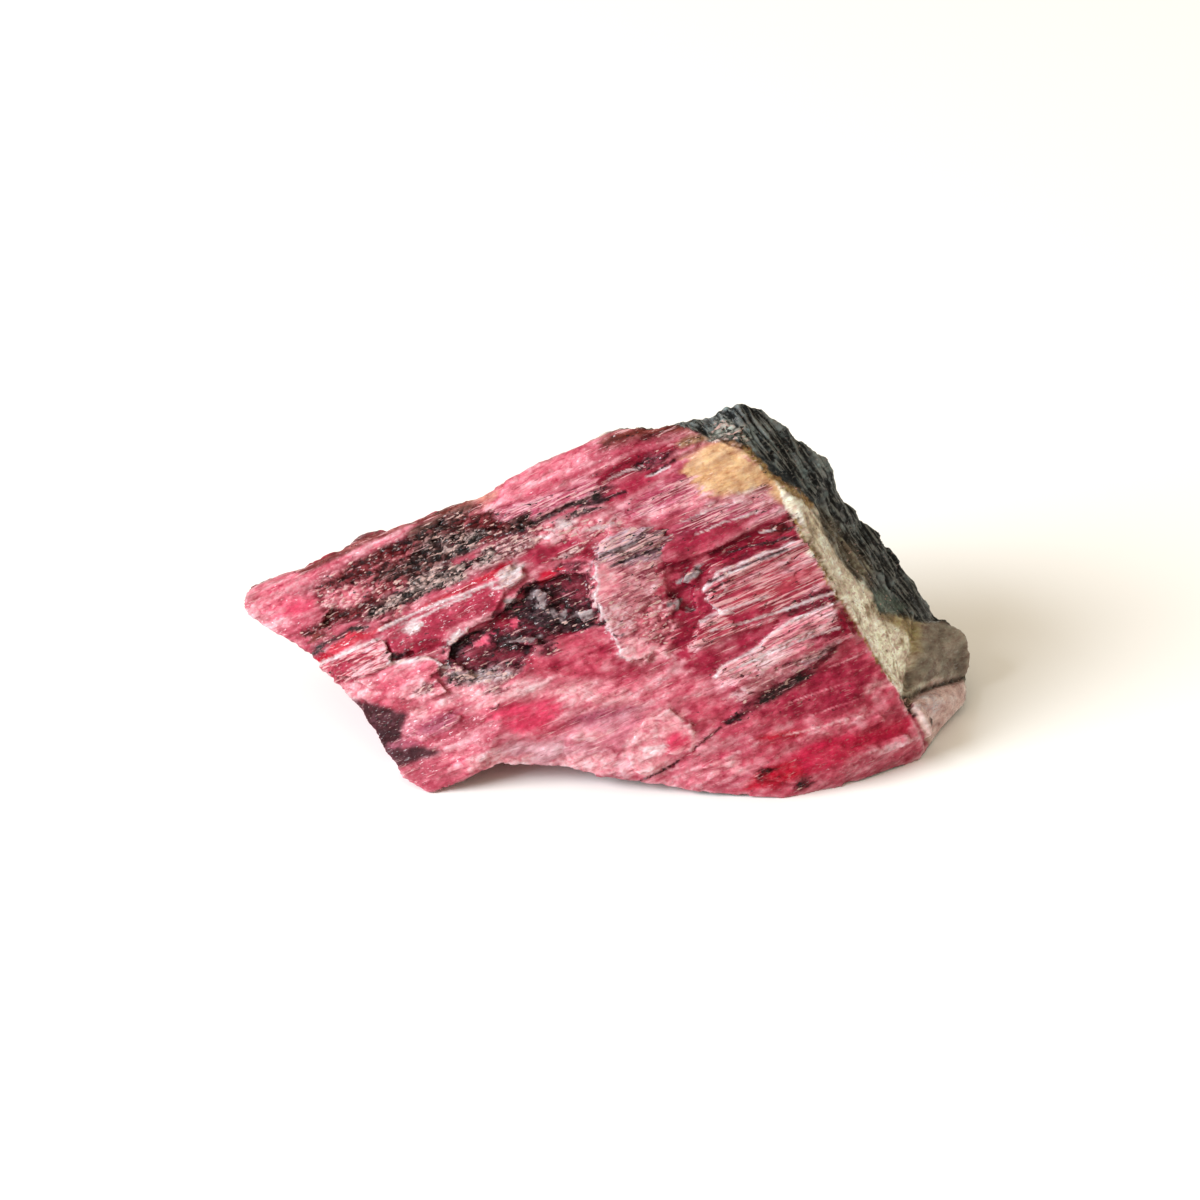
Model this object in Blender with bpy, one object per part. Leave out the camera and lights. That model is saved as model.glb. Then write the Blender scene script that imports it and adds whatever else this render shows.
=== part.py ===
"""Rough rhodonite: one broken stone with a cleaved pink face and a black manganese-oxide skin.

The stone is a single solid. A cage of named corners gives its facets: the cleaved front face, the
black skin over the top right, the broken back and the underside with its flat contact faces. The
facets are then cut fine, roughened as a fracture is, and stepped with cleavage plates and chips.

Frame: +X to the stone's right, +Y to its back, +Z up. The origin is on the ground, under the middle
of the stone's box.
"""

import math

import bmesh
import bpy
from mathutils import Matrix, Vector, noise
from mathutils.bvhtree import BVHTree

MM = 0.001

# Driving dimensions
STONE_LENGTH = 47.7 * MM  # from the left tip to the nose at the right
FACE_LEAN = math.radians(28.0)  # how far the cleaved face leans back from upright
BLADE_ANGLE = math.radians(23.0)  # how far the blades on the face climb to the right

ROSE = (0.56, 0.12, 0.17, 1.0)  # linear red, green, blue and alpha

# Sides of the stone, and the longest mesh edge that each may have
FRONT, SKIN, LUMP, BACK, UNDER = range(5)
EDGE_LIMIT = {
    FRONT: 1.15,
    SKIN: 1.3,
    LUMP: 1.2,
    BACK: 1.6,
    UNDER: 2.2,
}

# The cleaved face's own directions, and the point from which its places are set out.
# The numbers from here on are millimetres
FACE_RIGHT = Vector((1.0, 0.0, 0.0))
FACE_UP = Vector((0.0, math.sin(FACE_LEAN), math.cos(FACE_LEAN)))
FACE_OUT = Vector((0.0, -math.cos(FACE_LEAN), math.sin(FACE_LEAN)))
FACE_CENTRE = Vector((-0.4, 9.0, 9.4))
FACE_VIEW = 213.0  # the face's places are set out as seen from this far in front of it
BLADE_RUN = FACE_RIGHT * math.cos(BLADE_ANGLE) + FACE_UP * math.sin(BLADE_ANGLE)
BLADE_RISE = FACE_UP * math.cos(BLADE_ANGLE) - FACE_RIGHT * math.sin(BLADE_ANGLE)
PLATE_ROOT = 1.2  # how deep a plate's slab reaches below the surface
NUDGE = Vector((0.013, 0.007, 0.011))
MOST_CHANGE = 0.05  # the most that one join or cut may change the volume, as a share
CLEAR = 2.0  # how far a hollow's slab stands above the surface

THIN_SHARE = 0.12  # roughness stays under this share of the stone's thickness
SHARPEST = -0.55  # two facets may not turn from each other by more than this cosine
EASE_STEPS = 12

# The underside: how it meets the ground
GROUND_TOUCH = 0.05  # below this height a point is on the ground
GROUND_BAND = 1.2  # roughness fades out within this height of the ground
GROUND_WANDER = 0.15  # how far the outline of the flats strays
PIT_SIZE = 4.5  # width of the pits between the contact flats
PIT_DEPTH = 0.7
PIT_SHIFT = Vector((3.1, 7.7, 0.4))
WELD = 0.05  # edges shorter than this are drawn together

# Corners of the cage, in millimetres on a stone 47.7 long, each by the place where it lies
CORNERS = {
    # outline of the cleaved face, from the left tip down and round
    "tip_top": (-23.8, 13.5, 7.1),
    "tip_low": (-23.5, 12.7, 6.3),
    "left_a": (-19.0, 9.5, 5.0),
    "left_b": (-16.8, 7.5, 3.6),
    "left_c": (-15.0, 5.0, 2.3),
    "foot_left": (-13.0, 1.6, 0.6),
    "foot": (-11.1, 0.6, 0.0),
    "foot_right": (-8.9, 0.8, 0.9),
    "arch_left": (-6.7, 1.6, 1.7),
    "arch_right": (-2.6, 1.6, 1.4),
    "lump": (1.6, 0.8, 0.9),
    "front_a": (5.9, 0.3, 0.3),
    "front_b": (10.9, 0.0, 0.0),
    "front_c": (15.4, 1.7, 0.0),
    "front_d": (20.2, 4.9, 0.0),
    "rim": (20.8, 4.8, 2.0),
    "edge_a": (19.5, 5.2, 4.1),
    "edge_b": (17.4, 5.8, 6.4),
    "edge_c": (15.4, 7.0, 9.9),
    "edge_d": (14.0, 8.0, 12.4),
    "edge_e": (12.2, 9.5, 15.8),
    "edge_f": (10.1, 10.8, 17.7),
    "edge_g": (8.4, 11.3, 18.9),
    "edge_h": (6.2, 12.0, 19.5),
    "edge_i": (3.9, 12.8, 19.9),
    "top_a": (0.9, 13.2, 19.3),
    "top_b": (-3.0, 13.8, 17.4),
    "top_c": (-5.5, 14.0, 16.0),
    "top_d": (-8.0, 14.0, 14.3),
    "top_e": (-11.4, 14.2, 12.9),
    "top_f": (-15.4, 14.2, 11.1),
    "top_g": (-19.3, 14.0, 9.2),
    # inside the cleaved face
    "red_left": (-16.8, 9.0, 6.4),
    "band_left": (-8.0, 10.0, 12.8),
    "band_right": (-0.4, 11.2, 16.9),
    "upper_mid": (2.1, 8.2, 12.7),
    "upper_right": (5.9, 9.0, 15.1),
    "centre": (-0.4, 6.5, 10.7),
    "right_mid": (9.7, 5.2, 8.6),
    "lower_mid": (2.1, 2.8, 5.6),
    "lower_left": (-6.7, 3.0, 5.1),
    "far_left": (-14.1, 5.8, 5.3),
    "foot_above": (-10.5, 2.2, 2.3),
    "lower_right": (15.4, 2.5, 2.9),
    "lip_a": (-6.7, 1.4, 3.9),
    "lip_b": (-2.6, 1.3, 3.7),
    "lip_c": (2.1, 0.9, 3.2),
    "lip_d": (9.0, 0.2, 2.4),
    "lip_e": (15.3, 1.2, 2.2),
    # the pale seam between the cleaved face and the skin
    "seam_a": (13.2, 12.0, 14.5),
    "seam_b": (14.5, 11.8, 12.3),
    "seam_c": (16.5, 11.0, 9.1),
    "seam_d": (18.0, 10.0, 7.0),
    "seam_e": (19.4, 8.2, 3.5),
    # the black skin: a cap over the top, and the long slope at the right
    "saddle": (6.0, 14.0, 20.0),
    "peak": (8.6, 14.0, 21.0),
    "peak_right": (9.6, 14.4, 20.3),
    "cap_inner": (10.3, 13.2, 18.7),
    "cap_mid": (12.4, 12.6, 16.2),
    "skin_a": (14.3, 15.0, 16.6),
    "notch": (15.1, 15.0, 14.2),
    "skin_b": (17.2, 16.0, 11.2),
    "skin_c": (21.8, 16.0, 4.8),
    "slope_a": (15.8, 14.0, 11.2),
    "slope_b": (19.3, 14.0, 6.7),
    "brown": (21.6, 12.5, 3.8),
    # the pale lump at the lower right
    "nose_top": (23.5, 14.0, 3.8),
    "nose": (23.8, 13.0, 1.3),
    "nose_foot": (22.5, 10.0, 0.0),
    "lump_top": (20.2, 7.0, 3.3),
    "lump_mid": (21.8, 9.0, 1.9),
    # the broken back, half way down
    "back_a": (-22.0, 16.8, 6.6),
    "back_b": (-17.0, 19.2, 6.6),
    "back_c": (-10.5, 21.0, 8.2),
    "back_d": (-4.0, 22.2, 10.6),
    "back_e": (3.0, 21.6, 13.8),
    "back_f": (9.0, 20.2, 16.0),
    "back_g": (14.5, 20.6, 9.8),
    "back_h": (19.5, 20.8, 3.8),
    "back_i": (23.0, 17.2, 1.4),
    # the underside
    "under_tip": (-20.0, 14.8, 4.8),
    "under_mid": (-15.4, 10.5, 2.1),
    "foot_in_left": (-12.3, 5.6, 0.0),
    "foot_in_right": (-8.2, 4.8, 0.0),
    "roof_left": (-6.0, 5.5, 1.2),
    "roof_right": (-2.0, 5.2, 1.0),
    "arch_end_left": (-6.6, 9.5, 0.0),
    "arch_end_right": (-0.8, 9.0, 0.0),
    "base_in": (2.6, 3.8, 0.0),
    "base_a": (-12.8, 13.6, 0.0),
    "base_b": (-9.0, 19.4, 0.0),
    "base_c": (-2.0, 23.2, 0.0),
    "base_d": (5.0, 24.4, 0.0),
    "base_e": (12.0, 23.2, 0.0),
    "base_f": (18.6, 20.6, 0.0),
    "base_g": (22.6, 15.2, 0.0),
}

# Facets of the cage, each as its corners in order round it
FRONT_FACETS = [
    "tip_top red_left band_left top_d top_e top_f top_g",
    "tip_top tip_low left_a red_left",
    "band_left band_right top_a top_b top_c top_d",
    "band_right edge_i top_a",
    "band_right upper_right edge_h edge_i",
    "upper_right edge_e edge_f edge_g edge_h",
    "band_right upper_mid upper_right",
    "band_left centre upper_mid band_right",
    "red_left far_left lower_left centre band_left",
    "left_a left_b far_left red_left",
    "left_b left_c foot_above far_left",
    "far_left foot_above lower_left",
    "left_c foot_left foot foot_above",
    "foot_above foot foot_right",
    "foot_above foot_right lip_a lower_left",
    "foot_right arch_left lip_a",
    "arch_left arch_right lip_b lip_a",
    "arch_right lump lip_c lip_b",
    "lump front_a lip_c",
    "front_a front_b lip_d lip_c",
    "front_b front_c lip_e lip_d",
    "front_c front_d rim lip_e",
    "lip_a lip_b lip_c lower_mid lower_left",
    "lower_left lower_mid centre",
    "lower_mid right_mid centre",
    "centre right_mid upper_mid",
    "upper_mid right_mid upper_right",
    "right_mid edge_c edge_d edge_e upper_right",
    "right_mid edge_b edge_c",
    "lip_c lip_d lower_right right_mid lower_mid",
    "right_mid lower_right edge_a edge_b",
    "lip_d lip_e lower_right",
    "lower_right lip_e rim edge_a",
]
SEAM_FACETS = [
    "edge_e edge_d seam_b seam_a",
    "edge_d edge_c seam_c seam_b",
    "edge_c edge_b seam_d seam_c",
    "edge_b edge_a seam_e seam_d",
    "edge_a rim lump_top seam_e",
]
SKIN_FACETS = [
    "edge_i edge_h saddle",
    "edge_h edge_g cap_inner peak saddle",
    "edge_g edge_f cap_mid cap_inner",
    "edge_f edge_e seam_a cap_mid",
    "peak cap_inner peak_right",
    "cap_inner cap_mid skin_a peak_right",
    "cap_mid seam_a notch skin_a",
    "seam_a seam_b slope_a skin_b notch",
    "seam_b seam_c slope_b slope_a",
    "slope_a slope_b skin_c skin_b",
    "seam_c seam_d slope_b",
    "seam_d brown nose_top skin_c slope_b",
    "seam_d seam_e lump_mid brown",
    "brown lump_mid nose nose_top",
]
LUMP_FACETS = [
    "seam_e lump_top lump_mid",
    "lump_top rim front_d nose_foot",
    "lump_top nose_foot lump_mid",
    "lump_mid nose_foot nose",
]
BACK_FACETS = [
    "top_g back_b back_a tip_top",
    "top_f back_b top_g",
    "top_e back_c back_b top_f",
    "top_d back_c top_e",
    "top_c back_d back_c top_d",
    "top_b back_d top_c",
    "top_a back_e back_d top_b",
    "edge_i back_e top_a",
    "saddle back_e edge_i",
    "peak back_f back_e saddle",
    "peak_right back_f peak",
    "skin_a back_g back_f peak_right",
    "notch back_g skin_a",
    "skin_b back_h back_g notch",
    "skin_c back_h skin_b",
    "nose_top back_i back_h skin_c",
    "back_i nose_top nose base_g",
    "back_b back_c base_b base_a",
    "back_c back_d base_c base_b",
    "back_d back_e base_d base_c",
    "back_e back_f base_e base_d",
    "back_f back_g base_e",
    "back_g back_h base_f base_e",
    "back_h back_i base_g base_f",
    "back_a back_b under_tip",
    "back_b base_a under_tip",
]
UNDER_FACETS = [
    "tip_top back_a under_tip tip_low",
    "tip_low under_tip left_a",
    "left_a under_tip under_mid left_b",
    "left_b under_mid left_c",
    "left_c under_mid foot_in_left foot_left",
    "foot_left foot_in_left foot",
    "under_tip base_a under_mid",
    "under_mid base_a foot_in_left",
    "foot foot_in_left foot_in_right",
    "foot foot_in_right foot_right",
    "foot_right foot_in_right roof_left arch_left",
    "arch_left roof_left roof_right arch_right",
    "arch_right roof_right base_in lump",
    "lump base_in front_a",
    "front_a base_in front_b",
    "foot_in_right arch_end_left roof_left",
    "roof_left arch_end_left arch_end_right roof_right",
    "roof_right arch_end_right base_in",
    "nose_foot base_g nose",
    "foot_in_left base_a base_b base_c arch_end_right arch_end_left foot_in_right",
    "base_in arch_end_right base_c base_d base_e base_f base_g nose_foot front_d front_c front_b",
]

# Flat cleavage plates that stand out of the face. Each has the distance that it stands out at its
# left and at its right end, then its outline: millimetres to the right and up from FACE_CENTRE
PLATES = {
    "grey block": (
        0.55, 0.05,
        "-0.5 2.4, -0.35 1.5, -0.05 0.8, -0.4 0.2, 0.0 -0.6, 0.4 -1.6, 0.9 -2.6, 1.4 -3.6, "
        "1.9 -3.9, 2.3 -3.3, 3.0 -4.0, 3.4 -3.2, 4.2 -3.6, 4.7 -2.0, 4.3 0.0, 4.2 1.6, 3.9 2.8, "
        "4.5 4.0, 4.0 4.8, 2.2 5.0, 0.6 4.8, 0.5 4.1, -0.1 3.6, 0.0 3.0",
    ),
    "grey block upper fold": (
        0.75, 0.3,
        "0.2 3.6, 0.7 2.9, 3.3 3.2, 4.2 4.0, 2.4 4.8, 0.9 4.6",
    ),
    "upper blade": (
        0.45, 0.45,
        "6.6 0.7, 7.4 1.7, 9.6 2.8, 12.8 3.9, 13.5 3.3, 14.9 0.8, 12.0 0.1, 9.0 -0.5, 7.7 -0.9, "
        "6.9 0.0",
    ),
    "upper blade crest": (
        0.65, 0.75,
        "7.3 1.4, 9.6 2.7, 12.6 3.8, 13.0 3.4, 10.0 2.2, 8.0 1.2",
    ),
    "upper blade lower step": (
        0.4, 0.35,
        "6.4 -1.4, 7.9 -0.8, 11.0 0.0, 14.9 1.2, 15.2 0.2, 11.8 -1.1, 8.6 -2.2, 6.0 -2.9",
    ),
    "lower blade": (
        0.5, 0.6,
        "7.3 -5.0, 8.0 -4.1, 9.2 -3.5, 10.3 -2.9, 10.5 -2.4, 12.0 -1.2, 15.0 -0.2, 15.6 -1.0, "
        "16.3 -2.3, 14.0 -3.4, 11.5 -4.2, 9.4 -4.9",
    ),
    "lower blade crest": (
        0.75, 0.85,
        "10.4 -2.5, 12.1 -1.2, 15.0 -0.2, 15.3 -0.8, 12.2 -2.3",
    ),
    "lower blade foot": (
        0.35, 0.4,
        "8.4 -5.4, 10.0 -4.9, 12.6 -4.2, 14.6 -3.4, 12.4 -4.9, 10.9 -5.7, 9.4 -5.9",
    ),
    "left block": (
        0.4, 0.55,
        "-17.4 -4.1, -16.0 -3.2, -14.5 -2.4, -14.0 -2.8, -13.3 -4.0, -15.2 -4.9, -16.9 -4.9",
    ),
    "left block below": (
        0.3, 0.45,
        "-16.1 -5.0, -13.3 -4.0, -11.0 -3.6, -10.0 -4.1, -10.4 -4.6, -12.0 -5.3, -14.5 -5.7",
    ),
    "pale block": (
        0.25, 0.35,
        "-15.6 -5.9, -12.2 -5.1, -10.4 -5.0, -9.8 -5.9, -11.8 -6.7, -14.6 -6.7",
    ),
    "foot block": (
        0.25, 0.25,
        "-12.4 -7.6, -10.0 -7.1, -8.8 -7.4, -9.6 -8.2, -11.4 -9.0, -12.5 -8.6",
    ),
    "crimson blade": (
        0.35, 0.35,
        "-16.9 -3.5, -14.4 -2.2, -10.5 -0.3, -8.0 0.6, -6.0 1.6, -5.6 2.3, -9.0 1.0, -12.2 -0.4, "
        "-14.6 -1.5, -18.0 -3.3",
    ),
    "crimson blade lower": (
        0.2, 0.25,
        "-13.2 -3.6, -9.9 -2.6, -9.4 -1.9, -6.9 -1.0, -6.2 0.2, -6.2 1.2, -8.2 0.4, -10.6 -0.5, "
        "-13.6 -2.2",
    ),
    "white patch": (
        0.4, 0.45,
        "-7.0 1.0, -5.0 2.2, -4.9 1.4, -6.0 0.6",
    ),
    "pit flake": (
        0, 0.2,
        "-4.4 0.4, -3.9 0.7, -3.1 0.3, -3.1 -0.2, -3.5 -0.5, -4.1 -0.1",
    ),
    "pit flake low": (
        0, 0.15,
        "-6.1 -2.7, -4.6 -2.2, -3.9 -2.5, -4.3 -2.9, -5.4 -2.8",
    ),
    "pit flake left": (
        0.1, 0,
        "-9.9 -2.7, -8.8 -1.8, -8.4 -2.1, -9.4 -2.9",
    ),
    "pit flake right": (
        0, 0.15,
        "-1.5 -0.8, -0.7 -0.6, -0.4 -1.2, -1.1 -1.5",
    ),
    "top blade": (
        0.25, 0.35,
        "2.8 8.9, 4.6 10.0, 6.4 10.3, 6.0 9.6, 4.2 8.9, 3.0 8.3",
    ),
    "front panel": (
        0.15, 0.25,
        "6.3 -10.8, 9.0 -9.7, 12.7 -8.8, 18.0 -7.3, 18.3 -7.8, 13.2 -9.4, 9.4 -10.6",
    ),
    "front panel low": (
        0.15, 0.25,
        "10.0 -11.4, 14.4 -10.2, 19.6 -8.6, 19.9 -9.1, 15.6 -10.8, 12.4 -11.7",
    ),
    "centre flake": (
        0.2, 0.25,
        "5.2 1.2, 5.9 2.0, 6.4 1.8, 5.9 1.0",
    ),
    "centre flake low": (
        0.2, 0.2,
        "4.4 -0.2, 5.0 0.2, 5.1 -0.6, 4.6 -0.7",
    ),
    "lower lump": (
        0.3, 0.15,
        "2.0 -10.8, 1.9 -9.4, 2.6 -8.4, 2.8 -7.6, 3.8 -7.4, 4.4 -6.8, 5.2 -7.6, 5.9 -7.9, "
        "6.0 -8.8, 5.4 -9.7, 4.4 -10.2, 3.4 -10.9, 2.6 -11.1",
    ),
}

# Hollows of the face: the depth, then the outline as for the plates
HOLLOWS = {
    "dark pit": (
        0.7,
        "-9.6 -3.7, -9.3 -2.2, -6.8 -1.2, -5.4 0.1, -4.8 1.0, -2.5 1.6, -0.9 1.7, -0.6 0.0, "
        "-0.1 -1.3, -1.5 -2.1, -4.0 -2.9, -5.2 -4.2, -8.0 -4.9",
    ),
    "black band": (
        0.35,
        "-18.0 -1.9, -14.6 -1.0, -12.2 0.1, -9.2 1.5, -5.6 2.9, -4.4 4.6, -7.4 4.6, -10.6 3.9, "
        "-13.0 2.4, -16.4 0.9",
    ),
    "black band top": (
        0.3,
        "-10.8 4.9, -9.8 5.4, -8.6 5.5, -7.0 5.2, -8.6 4.2",
    ),
    "step beside the left block": (
        0.3,
        "-13.5 -3.9, -13.7 -3.2, -12.6 -3.1, -11.4 -3.4, -12.2 -3.7",
    ),
    "upper streak": (
        0.22,
        "-4.6 4.9, -2.4 6.0, 0.3 7.0, 0.6 6.7, -1.8 5.6, -4.2 4.5",
    ),
    "crimson step": (
        0.35,
        "4.5 2.3, 7.3 3.2, 10.2 4.8, 11.9 5.0, 12.3 4.3, 9.3 3.2, 7.2 2.3, 6.2 1.3, 5.9 0.4, "
        "6.2 -0.8, 4.9 -0.6, 4.4 0.6",
    ),
    "corner notch": (
        0.6,
        "19.0 -5.9, 19.6 -5.9, 20.0 -6.3, 19.9 -6.9, 19.3 -6.5",
    ),
    "crack low": (
        0.35,
        "2.9 -11.3, 5.0 -10.3, 6.6 -8.9, 7.6 -8.1, 7.8 -8.3, 6.8 -9.1, 5.2 -10.5, 3.1 -11.5",
    ),
    "crack high": (
        0.45,
        "8.2 -7.75, 9.6 -6.8, 11.2 -5.9, 12.8 -5.0, 14.0 -4.1, 14.1 -4.3, 12.9 -5.2, 11.3 -6.15, "
        "9.7 -7.05, 8.3 -7.95",
    ),
}


def clear_scene():
    for obj in list(bpy.data.objects):
        bpy.data.objects.remove(obj)


def build_cage():
    """The cage as one closed mesh, facing out."""
    cage = bmesh.new()
    place = {name: cage.verts.new(at) for name, at in CORNERS.items()}
    side = cage.faces.layers.int.new("side")
    for facets, number in (
        (FRONT_FACETS, FRONT),
        (SEAM_FACETS, SKIN),
        (SKIN_FACETS, SKIN),
        (LUMP_FACETS, LUMP),
        (BACK_FACETS, BACK),
        (UNDER_FACETS, UNDER),
    ):
        for names in facets:
            face = cage.faces.new([place[name] for name in names.split()])
            face[side] = number
    bmesh.ops.triangulate(cage, faces=cage.faces)
    bmesh.ops.recalc_face_normals(cage, faces=cage.faces)
    return cage


def edge_limit(edge, side):
    """The longest that an edge may be, by the finest of the sides that it bounds."""
    return min(EDGE_LIMIT[face[side]] for face in edge.link_faces)


def cut_fine(stone):
    """Splits long edges until none is longer than its side of the stone allows."""
    side = stone.faces.layers.int["side"]
    while True:
        long_edges = [edge for edge in stone.edges if edge.calc_length() > edge_limit(edge, side)]
        if not long_edges:
            return
        bmesh.ops.subdivide_edges(stone, edges=long_edges, cuts=1)
        wide = [face for face in stone.faces if len(face.verts) > 3]
        bmesh.ops.triangulate(stone, faces=wide, quad_method="BEAUTY", ngon_method="BEAUTY")


def scallop(at, size):
    """Shells of a chipped surface: low inside each cell, and sharp ridges between cells."""
    near = noise.voronoi(at / size)[0]
    return min(near[0], 1.0) - 0.5


def roughness(at, side):
    """How far a point moves outward, in millimetres, from its place in millimetres."""
    along = at.dot(BLADE_RUN)
    across = at.dot(BLADE_RISE)
    deep = at.dot(FACE_OUT)
    if side == FRONT:
        ribs = noise.noise(Vector((along / 7.0, across / 1.1, deep / 2.0)))
        lumps = noise.fractal(at / 3.2, 1.0, 2.0, 3)
        return 0.22 * ribs + 0.16 * lumps
    if side == SKIN:
        streaks = noise.noise(Vector((at.x / 1.4 - at.z / 3.5, at.y / 1.4, at.z / 4.0)))
        return 0.22 * streaks + 0.30 * scallop(at, 3.4)
    if side == LUMP:
        return 0.12 * noise.noise(at / 2.4)
    splinter = Vector((along / 1.9, across, deep / 1.2))
    chips = 1.1 * scallop(at, 6.5) + 0.7 * scallop(splinter + Vector((9.0, 4.0, 2.0)), 3.2)
    return chips + 0.2 * noise.fractal(at / 2.2, 1.0, 2.0, 3)


def thickness(tree, vert):
    """How thick the stone is under a point."""
    inward = -vert.normal
    hit = tree.ray_cast(vert.co + inward * 0.01, inward)[0]
    if hit is None:
        return 0.0
    return (hit - vert.co).length


def roughen(stone):
    """Moves every point along its normal, less where the stone is thin.

    The contact flats stay on the ground, with shallow pits between them.
    """
    side = stone.faces.layers.int["side"]
    tree = BVHTree.FromBMesh(stone)
    moves = []
    for vert in stone.verts:
        at = vert.co
        sides = [face[side] for face in vert.link_faces]
        if FRONT in sides and at.z >= GROUND_TOUCH:
            sides = [FRONT]
        if at.z < GROUND_TOUCH and all(number == UNDER for number in sides):
            pit = max(0.0, noise.noise(at / PIT_SIZE + PIT_SHIFT) - 0.05)
            moves.append((vert, Vector((0.0, 0.0, PIT_DEPTH * min(1.0, 3.0 * pit)))))
            continue
        if at.z < GROUND_TOUCH:
            wander_x = noise.noise(at / 1.7) * GROUND_WANDER
            wander_y = noise.noise(at / 1.7 + PIT_SHIFT) * GROUND_WANDER
            moves.append((vert, Vector((wander_x, wander_y, 0.0))))
            continue
        limit = THIN_SHARE * thickness(tree, vert)
        amount = sum(roughness(at, number) for number in sides) / len(sides)
        amount = max(-limit, min(limit, amount))
        fade = min(1.0, (at.z - GROUND_TOUCH) / GROUND_BAND)
        moves.append((vert, vert.normal * amount * fade))
    for vert, move in moves:
        lowest = 0.5 * vert.co.z
        vert.co += move
        vert.co.z = max(vert.co.z, lowest)


def ease_folds(stone):
    """Evens out the few places where roughness has folded the surface back on itself."""
    for step in range(EASE_STEPS):
        stone.normal_update()
        folded = set()
        for edge in stone.edges:
            one, two = edge.link_faces
            if one.normal.dot(two.normal) < SHARPEST:
                folded.update(one.verts)
                folded.update(two.verts)
        if not folded:
            return
        places = {}
        for vert in folded:
            around = [edge.other_vert(vert).co for edge in vert.link_edges]
            middle = sum(around, Vector()) / len(around)
            if vert.co.z < GROUND_TOUCH:
                ground = [co for co in around if co.z < GROUND_TOUCH]
                middle = sum(ground, Vector()) / max(1, len(ground)) if ground else vert.co
            places[vert] = vert.co.lerp(middle, 0.5)
        for vert, place in places.items():
            vert.co = place


def to_object(name, shape):
    mesh = bpy.data.meshes.new(name)
    shape.to_mesh(mesh)
    shape.free()
    obj = bpy.data.objects.new(name, mesh)
    bpy.context.scene.collection.objects.link(obj)
    return obj


def outline_points(text):
    return [tuple(float(number) for number in pair.split()) for pair in text.split(",")]


def seat(tree, right, up):
    """The point of the stone that is seen at a place on the face, and the way out from it."""
    eye = FACE_CENTRE + FACE_OUT * FACE_VIEW
    aim = FACE_CENTRE + FACE_RIGHT * right + FACE_UP * up
    ray = (aim - eye).normalized()
    hit = tree.ray_cast(eye, ray)[0]
    if hit is None:
        raise ValueError(f"no stone at {right} {up}")
    return hit, -ray


def fit_plane(points):
    """The middle of the points, and their slopes along FACE_RIGHT and FACE_UP, by least squares."""
    middle = sum(points, Vector()) / len(points)
    offsets = [point - middle for point in points]
    rights = [offset.dot(FACE_RIGHT) for offset in offsets]
    ups = [offset.dot(FACE_UP) for offset in offsets]
    outs = [offset.dot(FACE_OUT) for offset in offsets]
    rr = sum(x * x for x in rights)
    uu = sum(y * y for y in ups)
    ru = sum(x * y for x, y in zip(rights, ups))
    ro = sum(x * z for x, z in zip(rights, outs))
    uo = sum(y * z for y, z in zip(ups, outs))
    det = rr * uu - ru * ru
    return middle, (ro * uu - uo * ru) / det, (uo * rr - ro * ru) / det


def slab(name, tree, outline, heights):
    """A closed slab between two planes over an outline on the face.

    The planes lie at heights off the plane that fits the surface: above at the outline's left end,
    above at its right end, and below.
    """
    above_left, above_right, below = heights
    eye = FACE_CENTRE + FACE_OUT * FACE_VIEW
    seats = [seat(tree, right, up)[0] for right, up in outline]
    middle, slope_right, slope_up = fit_plane(seats)
    lefts = [point.dot(FACE_RIGHT) for point in seats]
    tilt = (above_right - above_left) / (max(lefts) - min(lefts))
    foot = above_left + tilt * (middle.dot(FACE_RIGHT) - min(lefts))
    planes = (
        (middle + FACE_OUT * foot, slope_right + tilt, slope_up),
        (middle + FACE_OUT * below, slope_right, slope_up),
    )
    shape = bmesh.new()
    rings = []
    for origin, along_right, along_up in planes:
        normal = FACE_OUT - FACE_RIGHT * along_right - FACE_UP * along_up
        ring = []
        for point in seats:
            ray = point - eye
            reach = (origin - eye).dot(normal) / ray.dot(normal)
            ring.append(shape.verts.new(eye + ray * reach))
        rings.append(ring)
    upper, lower = rings
    shape.faces.new(upper)
    shape.faces.new(lower[::-1])
    for i in range(len(outline)):
        j = (i + 1) % len(outline)
        shape.faces.new((upper[j], upper[i], lower[i], lower[j]))
    bmesh.ops.triangulate(shape, faces=shape.faces)
    bmesh.ops.recalc_face_normals(shape, faces=shape.faces)
    return to_object(name, shape)


def is_sound(before, after):
    """Whether a join or a cut left a closed shell of nearly the same volume."""
    old = bmesh.new()
    old.from_mesh(before)
    new = bmesh.new()
    new.from_mesh(after)
    closed = all(len(edge.link_faces) == 2 for edge in new.edges)
    change = new.calc_volume() / old.calc_volume() - 1.0
    old.free()
    new.free()
    return closed and abs(change) < MOST_CHANGE


def combine(stone, tool, operation):
    """Joins or cuts the tool, applies it, and takes the tool away.

    A tool that grazes an edge of the stone is nudged a little until the shell stays closed.
    """
    modifier = stone.modifiers.new(operation.lower(), "BOOLEAN")
    modifier.operation = operation
    modifier.solver = "EXACT"
    modifier.object = tool
    for attempt in range(6):
        tool.location = NUDGE * attempt
        modifier.use_self = attempt > 3
        graph = bpy.context.evaluated_depsgraph_get()
        graph.update()
        result = bpy.data.meshes.new_from_object(stone.evaluated_get(graph))
        if is_sound(stone.data, result):
            break
    else:
        raise ValueError(f"the stone does not stay closed with {tool.name}")
    stone.modifiers.clear()
    stone.data = result
    bpy.data.objects.remove(tool)


def surface_tree(stone):
    shape = bmesh.new()
    shape.from_mesh(stone.data)
    tree = BVHTree.FromBMesh(shape)
    shape.free()
    return tree


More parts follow.
